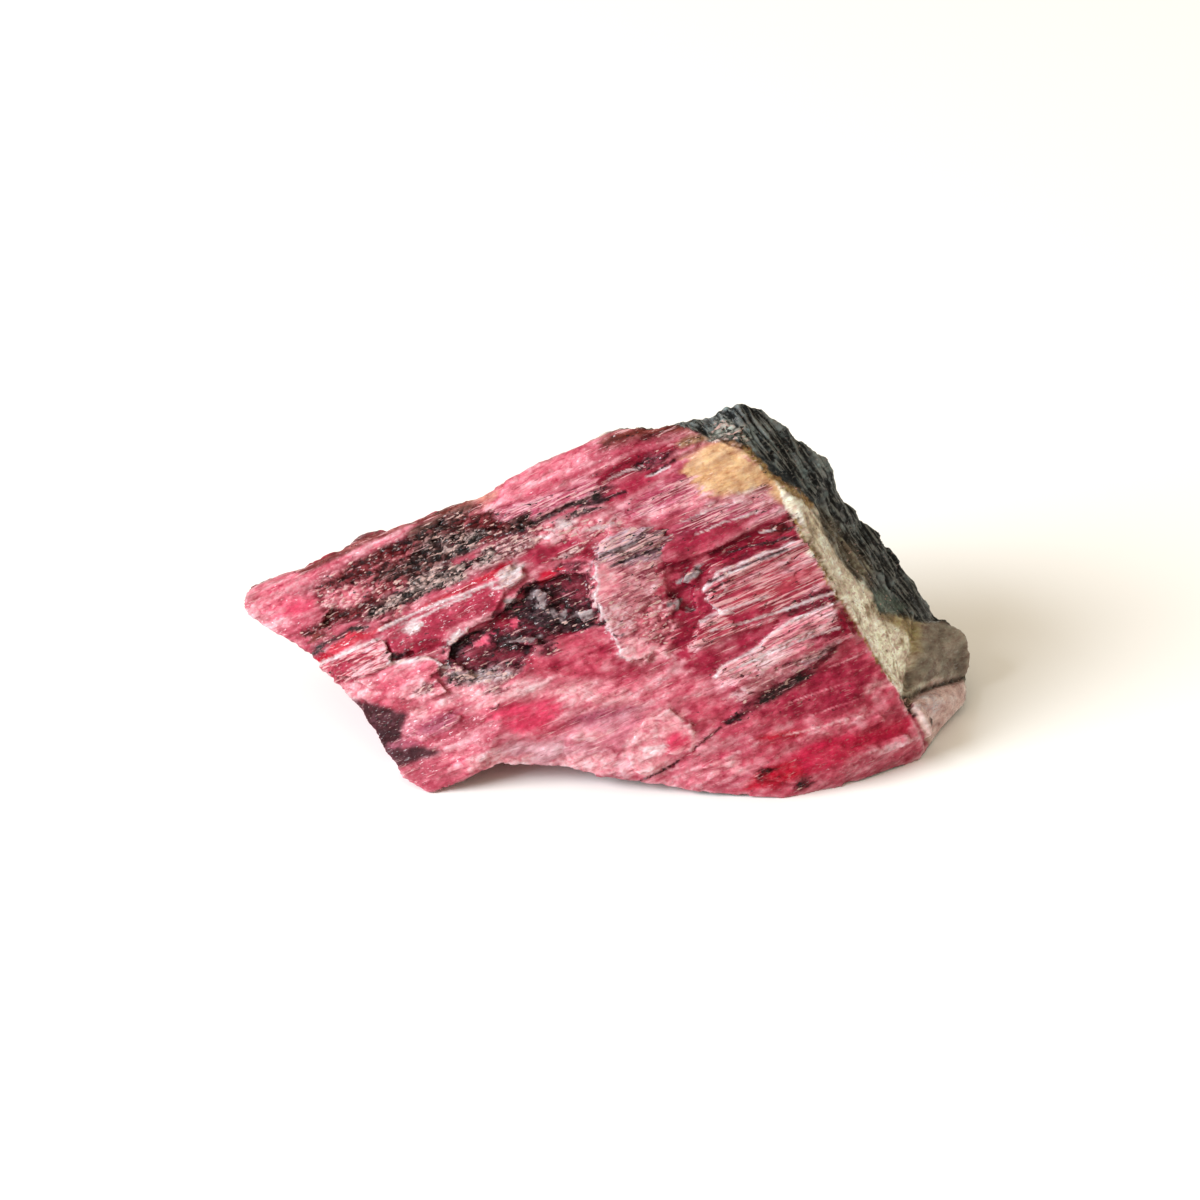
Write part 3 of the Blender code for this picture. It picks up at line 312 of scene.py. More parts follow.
# Patches of the face, painted in this order: mineral, softness of the edge in millimetres, then
# the outlines in tenths of a millimetre, parted by strokes
PATCHES = [
    ("rose", 1, "-240 -20,-230 20,-90 70,40 120,120 80,200 -50,210 -100,120 -140,-20 -130,-140 -130"),
    ("pale rose", 0.8, "-235 -10,-230 10,-170 36,-125 54,-124 38,-146 28,-170 19,-194 8,-204 -16,"
     "-220 -18"),
    ("hot pink", 0.7, "-206 -4,-196 0,-182 -3,-186 -13,-202 -12"),
    ("rose", 0.5, "-194 -8,-176 -4,-156 -11,-168 -22,-194 -26"),
    ("wine grains", 0.35, "-188 5,-170 16,-154 24,-130 32,-120 43,-105 54,-86 60,-68 57,-54 55,-49 49,"
     "-58 42,-74 36,-90 28,-105 22,-120 10,-140 0,-155 -10,-172 -18,-188 -26,-190 -20,-176 -12,-182 -4"),
    ("wine grains", 0.4, "-180 10,-164 23,-146 31,-128 40,-114 48,-120 36,-140 26,-160 16,-176 2"),
    ("rose grains", 0.4, "-186 -3,-172 6,-156 12,-144 10,-152 0,-168 -6"),
    ("olive brown", 0.4, "-122 43,-115 50,-96 60,-82 64,-84 57,-104 51,-116 40"),
    ("black grains", 0.3, "-124 37,-110 50,-90 56,-86 52,-96 44,-110 36/-144 17,-130 28,-114 35,-100 34,"
     "-86 33,-94 25,-114 17,-132 12/-154 -14,-148 -4,-134 4,-122 6,-126 -3,-140 -12"),
    ("dark wine", 0.3, "-90 45,-80 55,-66 57,-54 55,-52 46,-66 40,-80 37/-178 8,-164 18,-148 24,-146 16,"
     "-164 10/-170 -10,-156 -4,-152 -10,-164 -15/-162 20,-146 30,-128 37,-130 28,-148 22,-158 14"),
    ("brick", 0.3, "-190 -22,-178 -19,-172 -23,-186 -28"),
    ("granular", 0.25, "-149 -12,-136 -1,-124 6,-118 15,-109 20,-95 25,-82 22,-86 13,-103 7,-120 -1,"
     "-135 -8"),
    ("granular", 0.3, "-104 29,-96 36,-86 43,-74 44,-78 36,-90 29/-118 32,-110 39,-100 40,-90 47,-88 42,"
     "-100 33"),
    ("pale grains", 0.35, "-83 18,-80 29,-68 37,-52 44,-38 46,-34 36,-46 28,-62 24,-74 18"),
    ("crimson", 0.3, "-47 32,-40 39,-26 42,-14 40,-5 30,-10 24,-24 23,-40 25,-53 25"),
    ("pale grains", 0.2, "-32 26,-22 32,-14 33,-16 28,-26 25"),
    ("deep crimson", 0.2, "-15 29,-9 39,-4 37,-5 27,-9 25"),
    ("black fibres", 0.2, "-189 -36,-186 -31,-170 -24,-154 -16,-146 -15,-148 -19,-160 -22,-174 -29,"
     "-184 -36"),
    ("rose", 0.3, "-148 -19,-140 -14,-132 -13,-134 -17,-142 -21"),
    ("red", 0.1, "-185 -40,-172 -29,-156 -20,-146 -20,-134 -15,-120 -8,-105 0,-90 7,-75 16,-62 23,-56 23,"
     "-68 14,-80 9,-98 1,-112 -5,-130 -13,-142 -21,-154 -27,-168 -34,-178 -40"),
    ("crimson", 0.15, "-133 -40,-140 -26,-125 -19,-105 -8,-85 2,-70 10,-63 5,-65 -7,-80 -13,-93 -18,"
     "-101 -28,-110 -34,-120 -38"),
    ("deep crimson", 0.2, "-132 -33,-122 -28,-106 -24,-98 -26,-102 -32,-116 -35,-128 -38"),
    ("bone and highlight", 0.2, "-69 10,-62 17,-56 23,-48 23,-49 16,-54 11,-62 7/-130 -23,-126 -19,-119 -14,-112 -13,"
     "-114 -19,-122 -23"),
    ("ledge rose", 0.12, "-184 -42,-162 -33,-143 -25,-138 -30,-134 -38,-131 -41,-140 -46,-150 -51,-160 -53,"
     "-178 -53"),
    ("crimson", 0.3, "-175 -45,-166 -41,-159 -44,-168 -50"),
    # Painted shadow of the step between the two ledges
    ("black", 0.12, "-133 -40,-133 -34,-121 -32,-124 -36"),
    ("pale rose", 0.12, "-150 -51,-130 -42,-114 -37,-107 -37,-102 -41,-96 -42,-104 -48,-120 -54,-140 -57"),
    ("blush", 0.3, "-169 -55,-156 -52,-144 -54,-142 -61,-150 -64,-164 -62"),
    ("crimson rose", 0.3, "-146 -57,-136 -52,-127 -52,-129 -60,-142 -61"),
    ("blush", 0.25, "-129 -60,-120 -54,-112 -49,-106 -51,-98 -59,-106 -62,-120 -63"),
    ("pale grains", 0.2, "-119 -59,-114 -52,-106 -52,-104 -57,-110 -60"),
    ("crimson rose", 0.3, "-152 -62,-134 -62,-122 -64,-120 -69,-136 -69,-152 -67"),
    ("blush", 0.2, "-124 -75,-119 -67,-102 -63,-88 -66,-98 -71,-112 -74"),
    ("mauve rose", 0.3, "-119 -83,-110 -76,-92 -72,-89 -78,-102 -85,-112 -86"),
    ("mauve blush", 0.3, "-128 -78,-119 -76,-116 -86,-123 -89"),
    ("purple black", 0.2, "-168 -62,-150 -65,-132 -69,-123 -73,-126 -80,-127 -89,-126 -96,-135 -106,"
     "-152 -95"),
    ("mauve rose", 0.3, "-136 -93,-126 -90,-114 -91,-118 -95,-130 -96"),
    ("purple black", 0.2, "-144 -94,-129 -96,-118 -93,-100 -96,-106 -100,-116 -102,-122 -106,-134 -110"),
    ("rose", 0.5, "-132 -110,-118 -106,-100 -102,-86 -108,-94 -124,-126 -124"),
    ("pale rose", 0.7, "-98 -94,-74 -94,-64 -106,-86 -116,-100 -106"),
    ("grey grains", 0.3, "-100 -41,-92 -44,-74 -43,-60 -43,-48 -44,-56 -51,-70 -56,-84 -54,-98 -49"),
    ("black grains", 0.25, "-100 -46,-90 -47,-78 -51,-79 -55,-88 -53,-98 -50"),
    ("wine black", 0.15, "-99 -38,-98 -27,-88 -22,-72 -16,-68 -8,-62 -2,-52 1,-49 9,-42 16,-26 22,-12 23,"
     "-6 14,-4 0,2 -14,3 -18,-12 -20,-28 -24,-42 -32,-48 -44,-64 -43,-80 -45,-94 -42"),
    ("maroon", 0.3, "-30 19,-14 21,-7 10,-9 -2,-18 2,-30 9/-92 -34,-74 -30,-56 -31,-50 -38,-64 -40,"
     "-84 -41"),
    ("black", 0.2, "-50 7,-42 9,-30 3,-24 -6,-20 -16,-32 -19,-44 -14,-52 -8,-48 -2/-97 -32,-92 -26,-84 -29,"
     "-90 -36/-16 -13,-4 -9,2 -17,-10 -19"),
    ("red", 0.15, "-45 11,-41 17,-33 20,-27 18,-32 13,-40 9"),
    ("deep crimson", 0.25, "-70 -12,-60 -8,-54 -14,-62 -20,-72 -19"),
    ("hot pink", 0.08, "-57.5 -16,-55 -11.5,-51.5 -12,-52 -17,-55 -18.5"),
    ("hot pink", 0.12, "-79 -25,-72 -22,-69 -25,-72 -29,-78 -28"),
    ("bone and highlight", 0.08, "-98 -28,-92 -22,-86 -17,-85 -19,-92 -26,-96 -29"),
    ("flake", 0.06, "-45 3,-41 7.5,-34 4.5,-30.5 -0.5,-34 -5,-39 -2/-61 -27.5,-52 -23,-44 -23,-39 -26,"
     "-46 -28.5,-54 -26.5/-16 -10,-11 -6,-5 -7,-7 -13,-12 -14/-65 -2,-61 1,-56 0,-58 -4,-62 -4/-34 -7,"
     "-28 -5,-23 -10,-24 -17,-26 -12,-30 -8"),
    ("crimson rose", 0.4, "-46 -32,-30 -24,0 -20,6 -26,10 -36,8 -48,-20 -50,-46 -46"),
    ("crimson", 0.3, "-34 -39,-22 -35,-16 -40,-26 -45/-10 -30,4 -28,9 -35,-4 -36"),
    ("blush", 0.6, "-90 -56,-56 -52,-20 -53,16 -53,34 -54,28 -68,-14 -66,-46 -62,-76 -69,-92 -64"),
    ("pale grains", 0.3, "-76 -57,-62 -53,-56 -56,-70 -61"),
    ("hot pink", 0.5, "-72 -72,-50 -66,-28 -64,-24 -74,-38 -87,-56 -86"),
    ("dark wine", 0.15, "-69 -69.5,-66 -67.5,-63 -68.5,-65 -70.5"),
    ("mauve blush", 0.5, "-22 -83,-12 -76,6 -72,32 -70,24 -86,16 -96,-8 -96,-34 -92"),
    ("mauve rose", 0.3, "-22 -79,-10 -73,8 -70,28 -68,14 -73,-4 -78"),
    ("blush", 0.3, "-18 -86,-2 -82,6 -86,-8 -91"),
    # Lighter where the face turns under at the bottom: painted bounce light from the floor
    ("bounce lit undercut", 0.4, "-72 -99,-54 -91,-30 -92,0 -99,20 -104,18 -112,-20 -109,-44 -105,-68 -110"),
    ("rose", 0.3, "-50 62,-40 88,-16 98,2 104,4 92,-5 80,-12 72,-30 65"),
    ("pale rose", 0.5, "-80 65,-70 74,-50 86,-20 98,-6 94,-14 84,-30 74,-50 64,-68 62"),
    ("peach rose", 0.4, "-86 62,-78 72,-68 72,-70 64,-78 60"),
    ("rose fibres", 0.3, "-70 57,-54 62,-34 66,-14 74,-2 79,4 74,-6 66,-24 59,-44 52,-56 52"),
    ("black fibres", 0.15, "-58 44,-46 51,-28 59,-10 66,4 72,12 73,2 67,-16 59,-34 52,-49 44"),
    ("black fibres", 0.12, "-33 49.5,-18 55,2 61,9 61,-4 56,-18 51,-30 47"),
    ("black fibres", 0.15, "-8 67,6 72,16 73,12 67,2 62,-8 61"),
    ("crimson", 0.3, "0 67,14 75,32 84,48 88,40 79,24 70,10 62"),
    ("deep crimson", 0.25, "-4 80,10 88,26 96,42 100,51 99,44 92,30 86,14 79,0 74"),
    ("wine black", 0.2, "24 86,30 93,40 94,46 96,42 90,30 84"),
    ("brick", 0.4, "0 95,16 100,36 104,54 104,62 108,50 114,26 114,0 104"),
    ("rose", 0.3, "42 81,52 92,66 101,72 100,63 92,62 84,54 80"),
    ("blush", 0.2, "52 92,60 99,68 102,68 98,60 93"),
    ("ochre", 0.2, "48 100,58 105,68 107,73 102,62 100,52 97"),
    ("rose fibres", 0.4, "12 56,26 64,42 74,58 84,64 82,68 70,74 67,64 63,50 56,30 52"),
    ("blush", 0.25, "28 55,44 60,60 68,72 69,66 63,48 58,32 52"),
    ("rose fibres", 0.3, "44 42,58 54,78 63,100 64,120 60,116 53,96 49,72 40,54 34"),
    ("crimson", 0.3, "44 35,56 42,74 49,92 53,104 54,90 44,70 35,52 29"),
    ("mauve", 0.3, "54 56,68 63,82 70,96 76,113 74,123 62,122 56,104 59,84 61,64 56"),
    ("grey fibres", 0.15, "84 71,92 74,106 77,112 73,100 70,88 69"),
    ("deep crimson", 0.2, "62 25,76 35,90 42,106 49,122 56,129 46,128 39,110 33,92 27,76 20"),
    ("crimson", 0.2, "94 44,112 50,124 54,126 49,110 44"),
    ("peach", 0.35, "54 90,66 97,76 101,82 101,89 98,94 95,98 91,103 85,109 78,113 73,104 74,96 71,86 69,"
     "76 66,66 68,62 76,56 82"),
    ("peach", 0.3, "100 86,109 79,120 72,132 62,135 54,128 57,116 67,106 72,98 78"),
    ("deep crimson", 0.2, "42 26,58 31,75 27,69 16,64 6,69 -2,74 -8,64 -13,62 -26,54 -38,46 -30,44 -10,"
     "42 6"),
    ("crimson", 0.2, "52 4,62 10,66 4,70 -6,62 -8,56 -20,48 -12"),
    ("crimson", 0.3, "52 -24,66 -22,84 -18,104 -24,98 -30,80 -39,70 -49,56 -44,50 -36"),
    ("rose grains", 0.3, "-49 46,-30 50,-10 52,10 54,16 49,4 42,-6 36,-24 39,-40 37"),
    # Painted glints in pale cream
    ("bone and highlight", 0.15, "-28 48,-20 52,-12 51,-18 47/-6 46,2 50,9 49,2 45"),
    ("bone and highlight", 0.12, "-42 40,-34 43,-29 42,-36 39"),
    ("mauve fibres", 0.15, "-5 24,0 30,-1 35,5 39,10 44,22 45,32 46,42 43,42 38,40 29,36 22,14 16,0 18"),
    ("mauve", 0.1, "-5 24,-3 14,-1 7,-4 2,1 -8,5 -18,10 -29,14 -37,30 -41,41 -38,46 -20,43 0,42 12,38 26,"
     "14 22"),
    ("rose grains", 0.5, "24 -4,42 -2,47 -20,42 -36,28 -26,20 -14"),
    ("blush", 0.3, "10 -24,24 -25,38 -30,40 -38,26 -41,14 -37"),
    ("blush", 0.25, "-3 22,8 20,16 13,10 2,2 -2,-3 4"),
    ("grey fibres", 0.15, "4 29,16 35,28 39,36 43,42 43,40 39,30 33,16 26"),
    ("flake", 0.08, "52 10,53 16,60 21,66 22,60 13,55 9/45 -6,47 1,51 1,50 -7"),
    ("flake", 0.06, "55 -9,56.5 -3,59 -8"),
    ("ledge rose", 0.1, "66 7,73 14,76 18,96 27,114 34,130 39,134 34,142 22,150 8,153 1,134 -5,118 -11,"
     "86 -22,72 -28,60 -33,56 -39,64 -15,79 -9,68 0"),
    ("crimson", 0.2, "80 -10,96 -7,114 -4,110 -12,94 -17,84 -20"),
    ("ledge red", 0.25, "90 4,114 10,136 20,144 16,126 8,100 -2,86 -2"),
    ("maroon", 0.15, "114 -7,124 0,134 5,148 10,152 3,144 -2,130 -7,122 -10"),
    ("ledge pink", 0.1, "71 -52,78 -41,92 -35,102 -29,105 -24,120 -13,136 -6,151 -1,156 -10,154 -20,"
     "140 -27,125 -33,110 -42,94 -50,82 -56"),
    ("deep crimson", 0.2, "153 -2,161 -12,168 -23,154 -24,138 -26,148 -15"),
    ("mauve", 0.3, "86 -58,98 -48,116 -40,132 -33,152 -26,162 -24,148 -34,130 -45,110 -56,94 -64"),
    ("grey fibres", 0.2, "128 -40,140 -33,152 -27,146 -35,134 -42"),
    ("crimson rose", 0.4, "154 -24,166 -24,176 -34,188 -52,194 -62,206 -82,208 -94,196 -106,150 -126,"
     "80 -128,30 -120,50 -108,84 -80,110 -62,130 -50,142 -40"),
    ("crimson", 0.5, "124 -52,144 -40,164 -34,178 -48,170 -64,146 -74,124 -76,108 -70"),
    ("rose", 0.4, "32 -118,60 -102,90 -85,104 -81,124 -79,110 -90,92 -99,86 -106,100 -118,80 -124,"
     "44 -124"),
    ("pale rose", 0.4, "34 -119,62 -104,86 -92,90 -104,86 -114,60 -122"),
    ("blush", 0.2, "85 -110,90 -106,94 -108,90 -111"),
    ("red", 0.3, "98 -89,108 -85,126 -83,132 -86,120 -89,106 -92"),
    ("deep red", 0.3, "116 -110,126 -98,140 -90,160 -87,186 -78,202 -74,202 -83,180 -90,160 -99,154 -105,"
     "140 -109,126 -114"),
    ("red", 0.3, "90 -120,104 -108,124 -102,130 -113,110 -121"),
    ("pale rose", 0.15, "124 -89,140 -82,160 -75,182 -70,186 -73,172 -77,154 -82,136 -89,128 -92"),
    ("blush", 0.15, "170 -56,182 -50,190 -52,186 -56,176 -58"),
    ("pale rose", 0.25, "154 -110,162 -102,174 -96,190 -90,204 -84,208 -88,196 -95,174 -103,160 -110"),
    ("pale rose", 0.2, "191 -62,196 -62,206 -78,211 -92,205 -95,202 -84,196 -72"),
    ("rose", 0.3, "130 -123,154 -114,186 -102,206 -93,208 -102,170 -118,130 -132"),
    ("dark wine", 0.25, "100 -109,106 -106,110 -110,104 -114/124 -120,128 -115,135 -114,134 -118,"
     "128 -122"),
    ("crimson rose", 0.3, "58 -60,68 -62,84 -64,84 -74,72 -82,62 -82,54 -72"),
    ("pale rose", 0.4, "12 -52,34 -46,54 -46,70 -54,64 -64,40 -66,18 -62"),
    ("blush", 0.25, "15 -104,18 -90,24 -80,34 -71,44 -68,54 -75,61 -84,56 -96,44 -104,32 -112,20 -112"),
    ("hot pink", 0.3, "42 -89,48 -84,56 -86,52 -95,44 -98"),
    ("maroon", 0.3, "80 -78,94 -66,110 -55,128 -43,140 -36,146 -38,130 -52,112 -62,98 -72,86 -80"),
    ("quartz grey", 0.1, "94 94,112 76,120 58,128 40,139 25,146 12,155 -3,162 -12,174 -32,185 -50,193 -62,"
     "201 -73,209 -85,213 -98,260 -98,260 120,120 120"),
    ("quartz", 0.1, "112 76,126 69,136 60,143 46,150 28,164 15,174 3,176 -8,192 -20,199 -23,202 -32,"
     "198 -45,196 -56,193 -62,185 -50,174 -32,162 -12,155 -3,146 12,139 25,128 40,120 58"),
    ("quartz grey", 0.4, "114 74,134 60,143 46,150 30,146 26,138 36,128 52,122 60"),
    ("quartz bright", 0.3, "162 8,172 2,170 -8,186 -20,198 -26,194 -44,188 -50,178 -34,166 -10"),
    ("skin", 0.12, "42 112,56 110,62 106,70 103,85 99,94 95,102 87,109 79,124 70,136 60,143 46,150 29,"
     "164 15,174 3,177 -8,192 -12,210 -16,245 -16,200 50,150 120,80 145,40 128"),
    ("skin blue", 0.3, "92 96,102 94,118 84,132 70,142 62,140 58,132 62,116 75,106 84"),
    ("skin brown", 0.4, "139 60,150 50,162 36,174 20,176 6,170 9,152 27,144 44"),
    ("pale crust", 0.12, "68 106,73 109,76 115,83 116,87 110,91 109,89 105,95 103,92 100,82 103,74 102"),
    ("ochre", 0.12, "76 103,86 102,92 99,94 96,86 98,79 101"),
    ("teal", 0.3, "174 6,182 6,194 -4,190 -10,180 -9,176 -4"),
    ("olive", 0.3, "177 -9,190 -10,206 -15,210 -24,206 -36,201 -34,199 -24,188 -17"),
    ("brown", 0.3, "204 -16,220 -14,245 -15,245 -52,214 -52,206 -55,195 -62,197 -46,204 -32"),
    ("pale lump", 0.2, "197 -66,203 -59,212 -53,230 -49,250 -50,240 -98,213 -98,209 -85,201 -73"),
    # Painted highlight on the pale lump
    ("bone and highlight", 0.12, "203 -62,206 -60,210 -62,210 -69,207 -72,204 -68"),
    ("granular", 0.3, "-83 24,-76 32,-66 35,-64 29,-72 23"),
    ("black grains", 0.3, "-66 42,-57 52,-44 57,-41 50,-50 43"),
    ("wine grains", 0.3, "-140 25,-134 34,-124 35,-125 27,-133 22/-140 -12,-134 -5,-125 -5,-126 -13,"
     "-134 -16"),
    ("dark wine", 0.3, "109 47,119 54,128 52,127 45,117 42"),
    ("wine black", 0.3, "-43 -33,-39 -25,-29 -25,-27 -33,-35 -36"),
    ("crimson rose", 0.3, "54 26,62 35,69 33,68 26,60 22/38 6,40 17,47 18,48 8,43 3"),
    ("rose", 0.3, "73 -33,76 -24,86 -23,88 -31,80 -36"),
    # Lighter strips along the bottom edge: painted light over the shade where the face turns under
    ("blush", 0.3, "-84 -101,-64 -99,-46 -99,-44 -109,-62 -111,-82 -109/-28 -100,-6 -99,12 -100,12 -110,"
     "-6 -111,-28 -109/69 -102,88 -100,90 -109,72 -112"),
    ("rose", 0.3, "167 -100,182 -98,186 -107,172 -112"),
]

# Bright or dark edges drawn over them: mineral, half width in millimetres, then the lines in tenths
# of a millimetre. Among them, the bright edges along the ledges and the glints are painted highlights,
# and the dark lines in the crease and the notch by the lumps are painted shade
LINES = [
    ("brick", 0.22, "-190 19,-183 22,-152 37,-125 49,-102 57,-85 63"),
    ("black", 0.06, "26 -115,38 -110,50 -103.5"),
    ("dark wine", 0.07, "60 -95,68 -89,77 -81"),
    ("black", 0.14, "82 -78.5,86 -75,91 -72"),
    ("maroon", 0.12, "91 -72,100 -67,108 -62"),
    ("black fibres", 0.26, "106 -63,118 -56,126 -51,134 -45"),
    ("maroon", 0.2, "132 -46,142 -39,150 -32"),
    # Painted shade: a dark line in the crease between the two lumps
    ("skin brown", 0.12, "196 -62,204 -58,214 -54,230 -50,246 -49"),
    # Painted highlights: pale edges along the tops of the ledges
    ("bone and highlight", 0.1, "-180 -41,-160 -33,-142 -24.5"),
    ("bone and highlight", 0.08, "-140 -19,-126 -11.5,-110 -5,-94 1.5,-80 6.5,-69 11"),
    ("bone and highlight", 0.06, "-128 -16,-114 -11,-96 -2,-82 3"),
    ("bone and highlight", 0.1, "-136 -41,-124 -39,-112 -37,-107 -37.5,-101 -41.5,-96 -42.5"),
    ("bone and highlight", 0.07, "-4 24,-3 15,-0.5 8,-3.5 2,0 -6,4 -16,9 -26,13 -34,17 -38/-139 -27,-136 -33,-134 -39"),
    ("bone and highlight", 0.09, "65 6,72 11,75 17.5,86 22,104 29,124 37"),
    ("bone and highlight", 0.08, "76 13,94 22,112 29,128 35/68 1,74 -4,79 -9,86 -8"),
    ("bone and highlight", 0.07, "76 2,80 6,80 12"),
    ("bone and highlight", 0.08, "64 -14,74 -9,88 -4,106 2"),
    ("bone and highlight", 0.07, "70 -20,90 -15,110 -9,132 -1,151 5"),
    ("bone and highlight", 0.08, "103 -29,106 -24,122 -14,138 -6,151 -1.5/73 -50,78 -42,92 -35.5,102 -29.5"),
    ("bone and highlight", 0.06, "80 -47,100 -38,120 -29,136 -23,152 -18/86 -44,106 -34,128 -23,148 -14"),
    ("black", 0.09, "70 12,84 19,102 26,120 33"),
    ("black", 0.08, "82 30,100 35,116 39,126 40"),
    ("black", 0.07, "67 4,74 8,84 13/8 22,22 27,36 33"),
    ("black", 0.08, "-3 26,8 31,24 38,30 42"),
    ("flake", 0.06, "2 28,14 33,26 38/28 36,36 39"),
    ("black", 0.08, "7 -21,11 -23,14 -23"),
    ("black", 0.1, "-12 59,4 65,16 70"),
    ("black", 0.08, "32 80,42 86,48 90"),
    # Painted glints along the threads
    ("bone and highlight", 0.06, "30 79,36 81,44 85"),
    ("bone and highlight", 0.05, "6 77,18 83,26 85/50 49,70 57,90 63/62 42,80 50,100 56/102 43,114 46"),
    ("blush", 0.05, "116 -87,130 -84,150 -79,176 -72"),
    ("pale rose", 0.05, "146 -43,160 -38,170 -33"),
    ("pale rose", 0.04, "120 -66,136 -60,154 -54/134 -74,152 -68,168 -62"),
    ("amber", 0.18, "93 97,102 88,109 79,123 70.5,135 60.5"),
    ("amber", 0.06, "124 52,138 27,154 -1,172 -29,186 -52"),
    # Painted shade in the notch at the pale lump's left edge
    ("dark wine", 0.12, "194 -62,198 -67,201 -74"),
    # Painted glint
    ("bone and highlight", 0.05, "-36 45,-28 45,-22 47"),
]


def hashed(cell, seed):
    """A fixed pseudo-random whole number for each lattice cell."""
    x = cell[..., 0].astype(np.uint32) * np.uint32(374761393)
    y = cell[..., 1].astype(np.uint32) * np.uint32(668265263)
    z = cell[..., 2].astype(np.uint32) * np.uint32(2246822519)
    h = x + y + z + np.uint32(seed * 3266489917 % 4294967296)
    h = (h ^ (h >> np.uint32(13))) * np.uint32(1274126177)
    return h ^ (h >> np.uint32(16))


def three_bytes(h, half):
    """Three numbers from each whole number: its lowest bytes, divided by half."""
    return np.stack([(h >> np.uint32(shift) & np.uint32(255)) / half for shift in (0, 8, 16)], -1)


def smooth_noise(points, seed):
    """Gradient noise, from about -1 to 1."""
    base = np.floor(points).astype(np.int64)
    part = points - base
    fade = part**3 * (part * (part * 6 - 15) + 10)
    total = np.zeros(len(points))
    for corner in range(8):
        step = np.array([corner & 1, corner >> 1 & 1, corner >> 2 & 1])
        away = part - step
        gradient = three_bytes(hashed(base + step, seed), 127.5) - 1.0
        weight = np.prod(np.where(step == 1, fade, 1 - fade), axis=1)
        total += weight * (gradient * away).sum(1)
    return total * 1.5


def layered_noise(points, seed):
    """Three layers of noise, each half as large and half as strong as the one before."""
    total = np.zeros(len(points))
    for layer, size in enumerate((1.0, 0.5, 0.25)):
        total += smooth_noise(points / size, seed + layer) * size
    return total


def cells(points, seed):
    """Distance to the nearest and the second nearest seed point, and a number from -1 to 1."""
    base = np.floor(points).astype(np.int64)
    first = np.full(len(points), 9.0)
    second = np.full(len(points), 9.0)
    number = np.zeros(len(points), dtype=np.uint32)
    for index in range(27):
        cell = base + np.array([index // 9 - 1, index // 3 % 3 - 1, index % 3 - 1])
        h = hashed(cell, seed)
        away = np.linalg.norm(cell + three_bytes(h, 255.0) - points, axis=1)
        nearer = away < first
        second = np.where(nearer, first, np.minimum(second, away))
        number = np.where(nearer, h, number)
        first = np.where(nearer, away, first)
    return first, second, (number >> np.uint32(7) & np.uint32(1023)) / 511.5 - 1.0


def splinters(points, seed):
    """A number from -1 to 1, the same all over each splinter."""
    return cells(points, seed)[2]


KINDS = {"waves": smooth_noise, "layers": layered_noise, "splinters": splinters}


def summed(places, name):
    """All the noise of a name, added up."""
    total = np.zeros(len(places))
    for kind, amount, size, seed in NOISES[name]:
        total += amount * KINDS[kind](places / np.array(size), seed)
    return total


def outline_points(text):
    """The corners of an outline, in millimetres."""
    return np.array([[float(part) for part in pair.split()] for pair in text.split(",")]) / OUTLINE_STEPS


def edge_distance(places, start, end):
    dx, dy = end - start
    x, y = (places - start).T
    along = np.clip((x * dx + y * dy) / (dx * dx + dy * dy), 0, 1)
    return np.hypot(x - along * dx, y - along * dy)


def inside_distance(places, outline):
    """How far inside an outline each place is: negative outside."""
    x, y = places.T
    nearest = np.full(len(places), np.inf)
    inside = np.zeros(len(places), dtype=bool)
    for start, end in zip(outline, np.roll(outline, -1, axis=0)):
        nearest = np.minimum(nearest, edge_distance(places, start, end))
        crosses = (start[1] > y) != (end[1] > y)
        rise = end[1] - start[1]
        level = rise if rise else 1e-9
        inside ^= crosses & (x < (y - start[1]) * (end[0] - start[0]) / level + start[0])
    return np.where(inside, nearest, -nearest)


def line_depth(places, line):
    """How far each place is from a line, counted downward from 0 on the line."""
    nearest = np.full(len(places), np.inf)
    for start, end in zip(line[:-1], line[1:]):
        nearest = np.minimum(nearest, edge_distance(places, start, end))
    return -nearest


def ramp(value, low, high):
    """0 below low, 1 above high, smooth between."""
    share = np.clip((value - low) / (high - low), 0, 1)
    return share * share * (3 - 2 * share)


def turned_axes(angle):
    """The run, rise and outward axes of a grain that lies at an angle in the face."""
    run = FACE_RIGHT * math.cos(angle) + FACE_UP * math.sin(angle)
    rise = FACE_UP * math.cos(angle) - FACE_RIGHT * math.sin(angle)
    return np.array([run, rise, FACE_OUT])


BLADE_AXES = turned_axes(BLADE_ANGLE)
SKIN_AXES = turned_axes(SKIN_ANGLE)


def seen_places(points):
    """Where the camera sees each point: millimetres right and up from FACE_CENTRE."""
    ray = points - EYE
    scale = VIEW_DISTANCE / -(ray @ FACE_OUT)
    return np.stack([(ray @ FACE_RIGHT) * scale, (ray @ FACE_UP) * scale], axis=1)


def read(items, name, width, kind):
    """One row of numbers for each item of a mesh."""
    flat = np.empty(len(items) * width, dtype=kind)
    items.foreach_get(name, flat)
    return flat.reshape(-1, width)


def get_points(mesh):
    return read(mesh.vertices, "co", 3, np.float32).astype(float) / MM


def get_normals(mesh):
    return read(mesh.vertex_normals, "vector", 3, np.float32).astype(float)


def edge_ends(mesh):
    return read(mesh.edges, "vertices", 2, np.int32)


def set_points(mesh, points):
    mesh.vertices.foreach_set("co", (points * MM).astype(np.float32).ravel())
    mesh.update()


def averaged(values, ends, rounds):
    """Each point's values averaged with its neighbours', several times over."""
    first, second = ends.T
    count = len(values)
    reach = np.bincount(first, minlength=count) + np.bincount(second, minlength=count) + 1.0
    for _ in range(rounds):
        columns = []
        for column in values.T:
            total = column + np.bincount(first, column[second], count)
            total += np.bincount(second, column[first], count)
            columns.append(total / reach)
        values = np.stack(columns, axis=1)
    return values


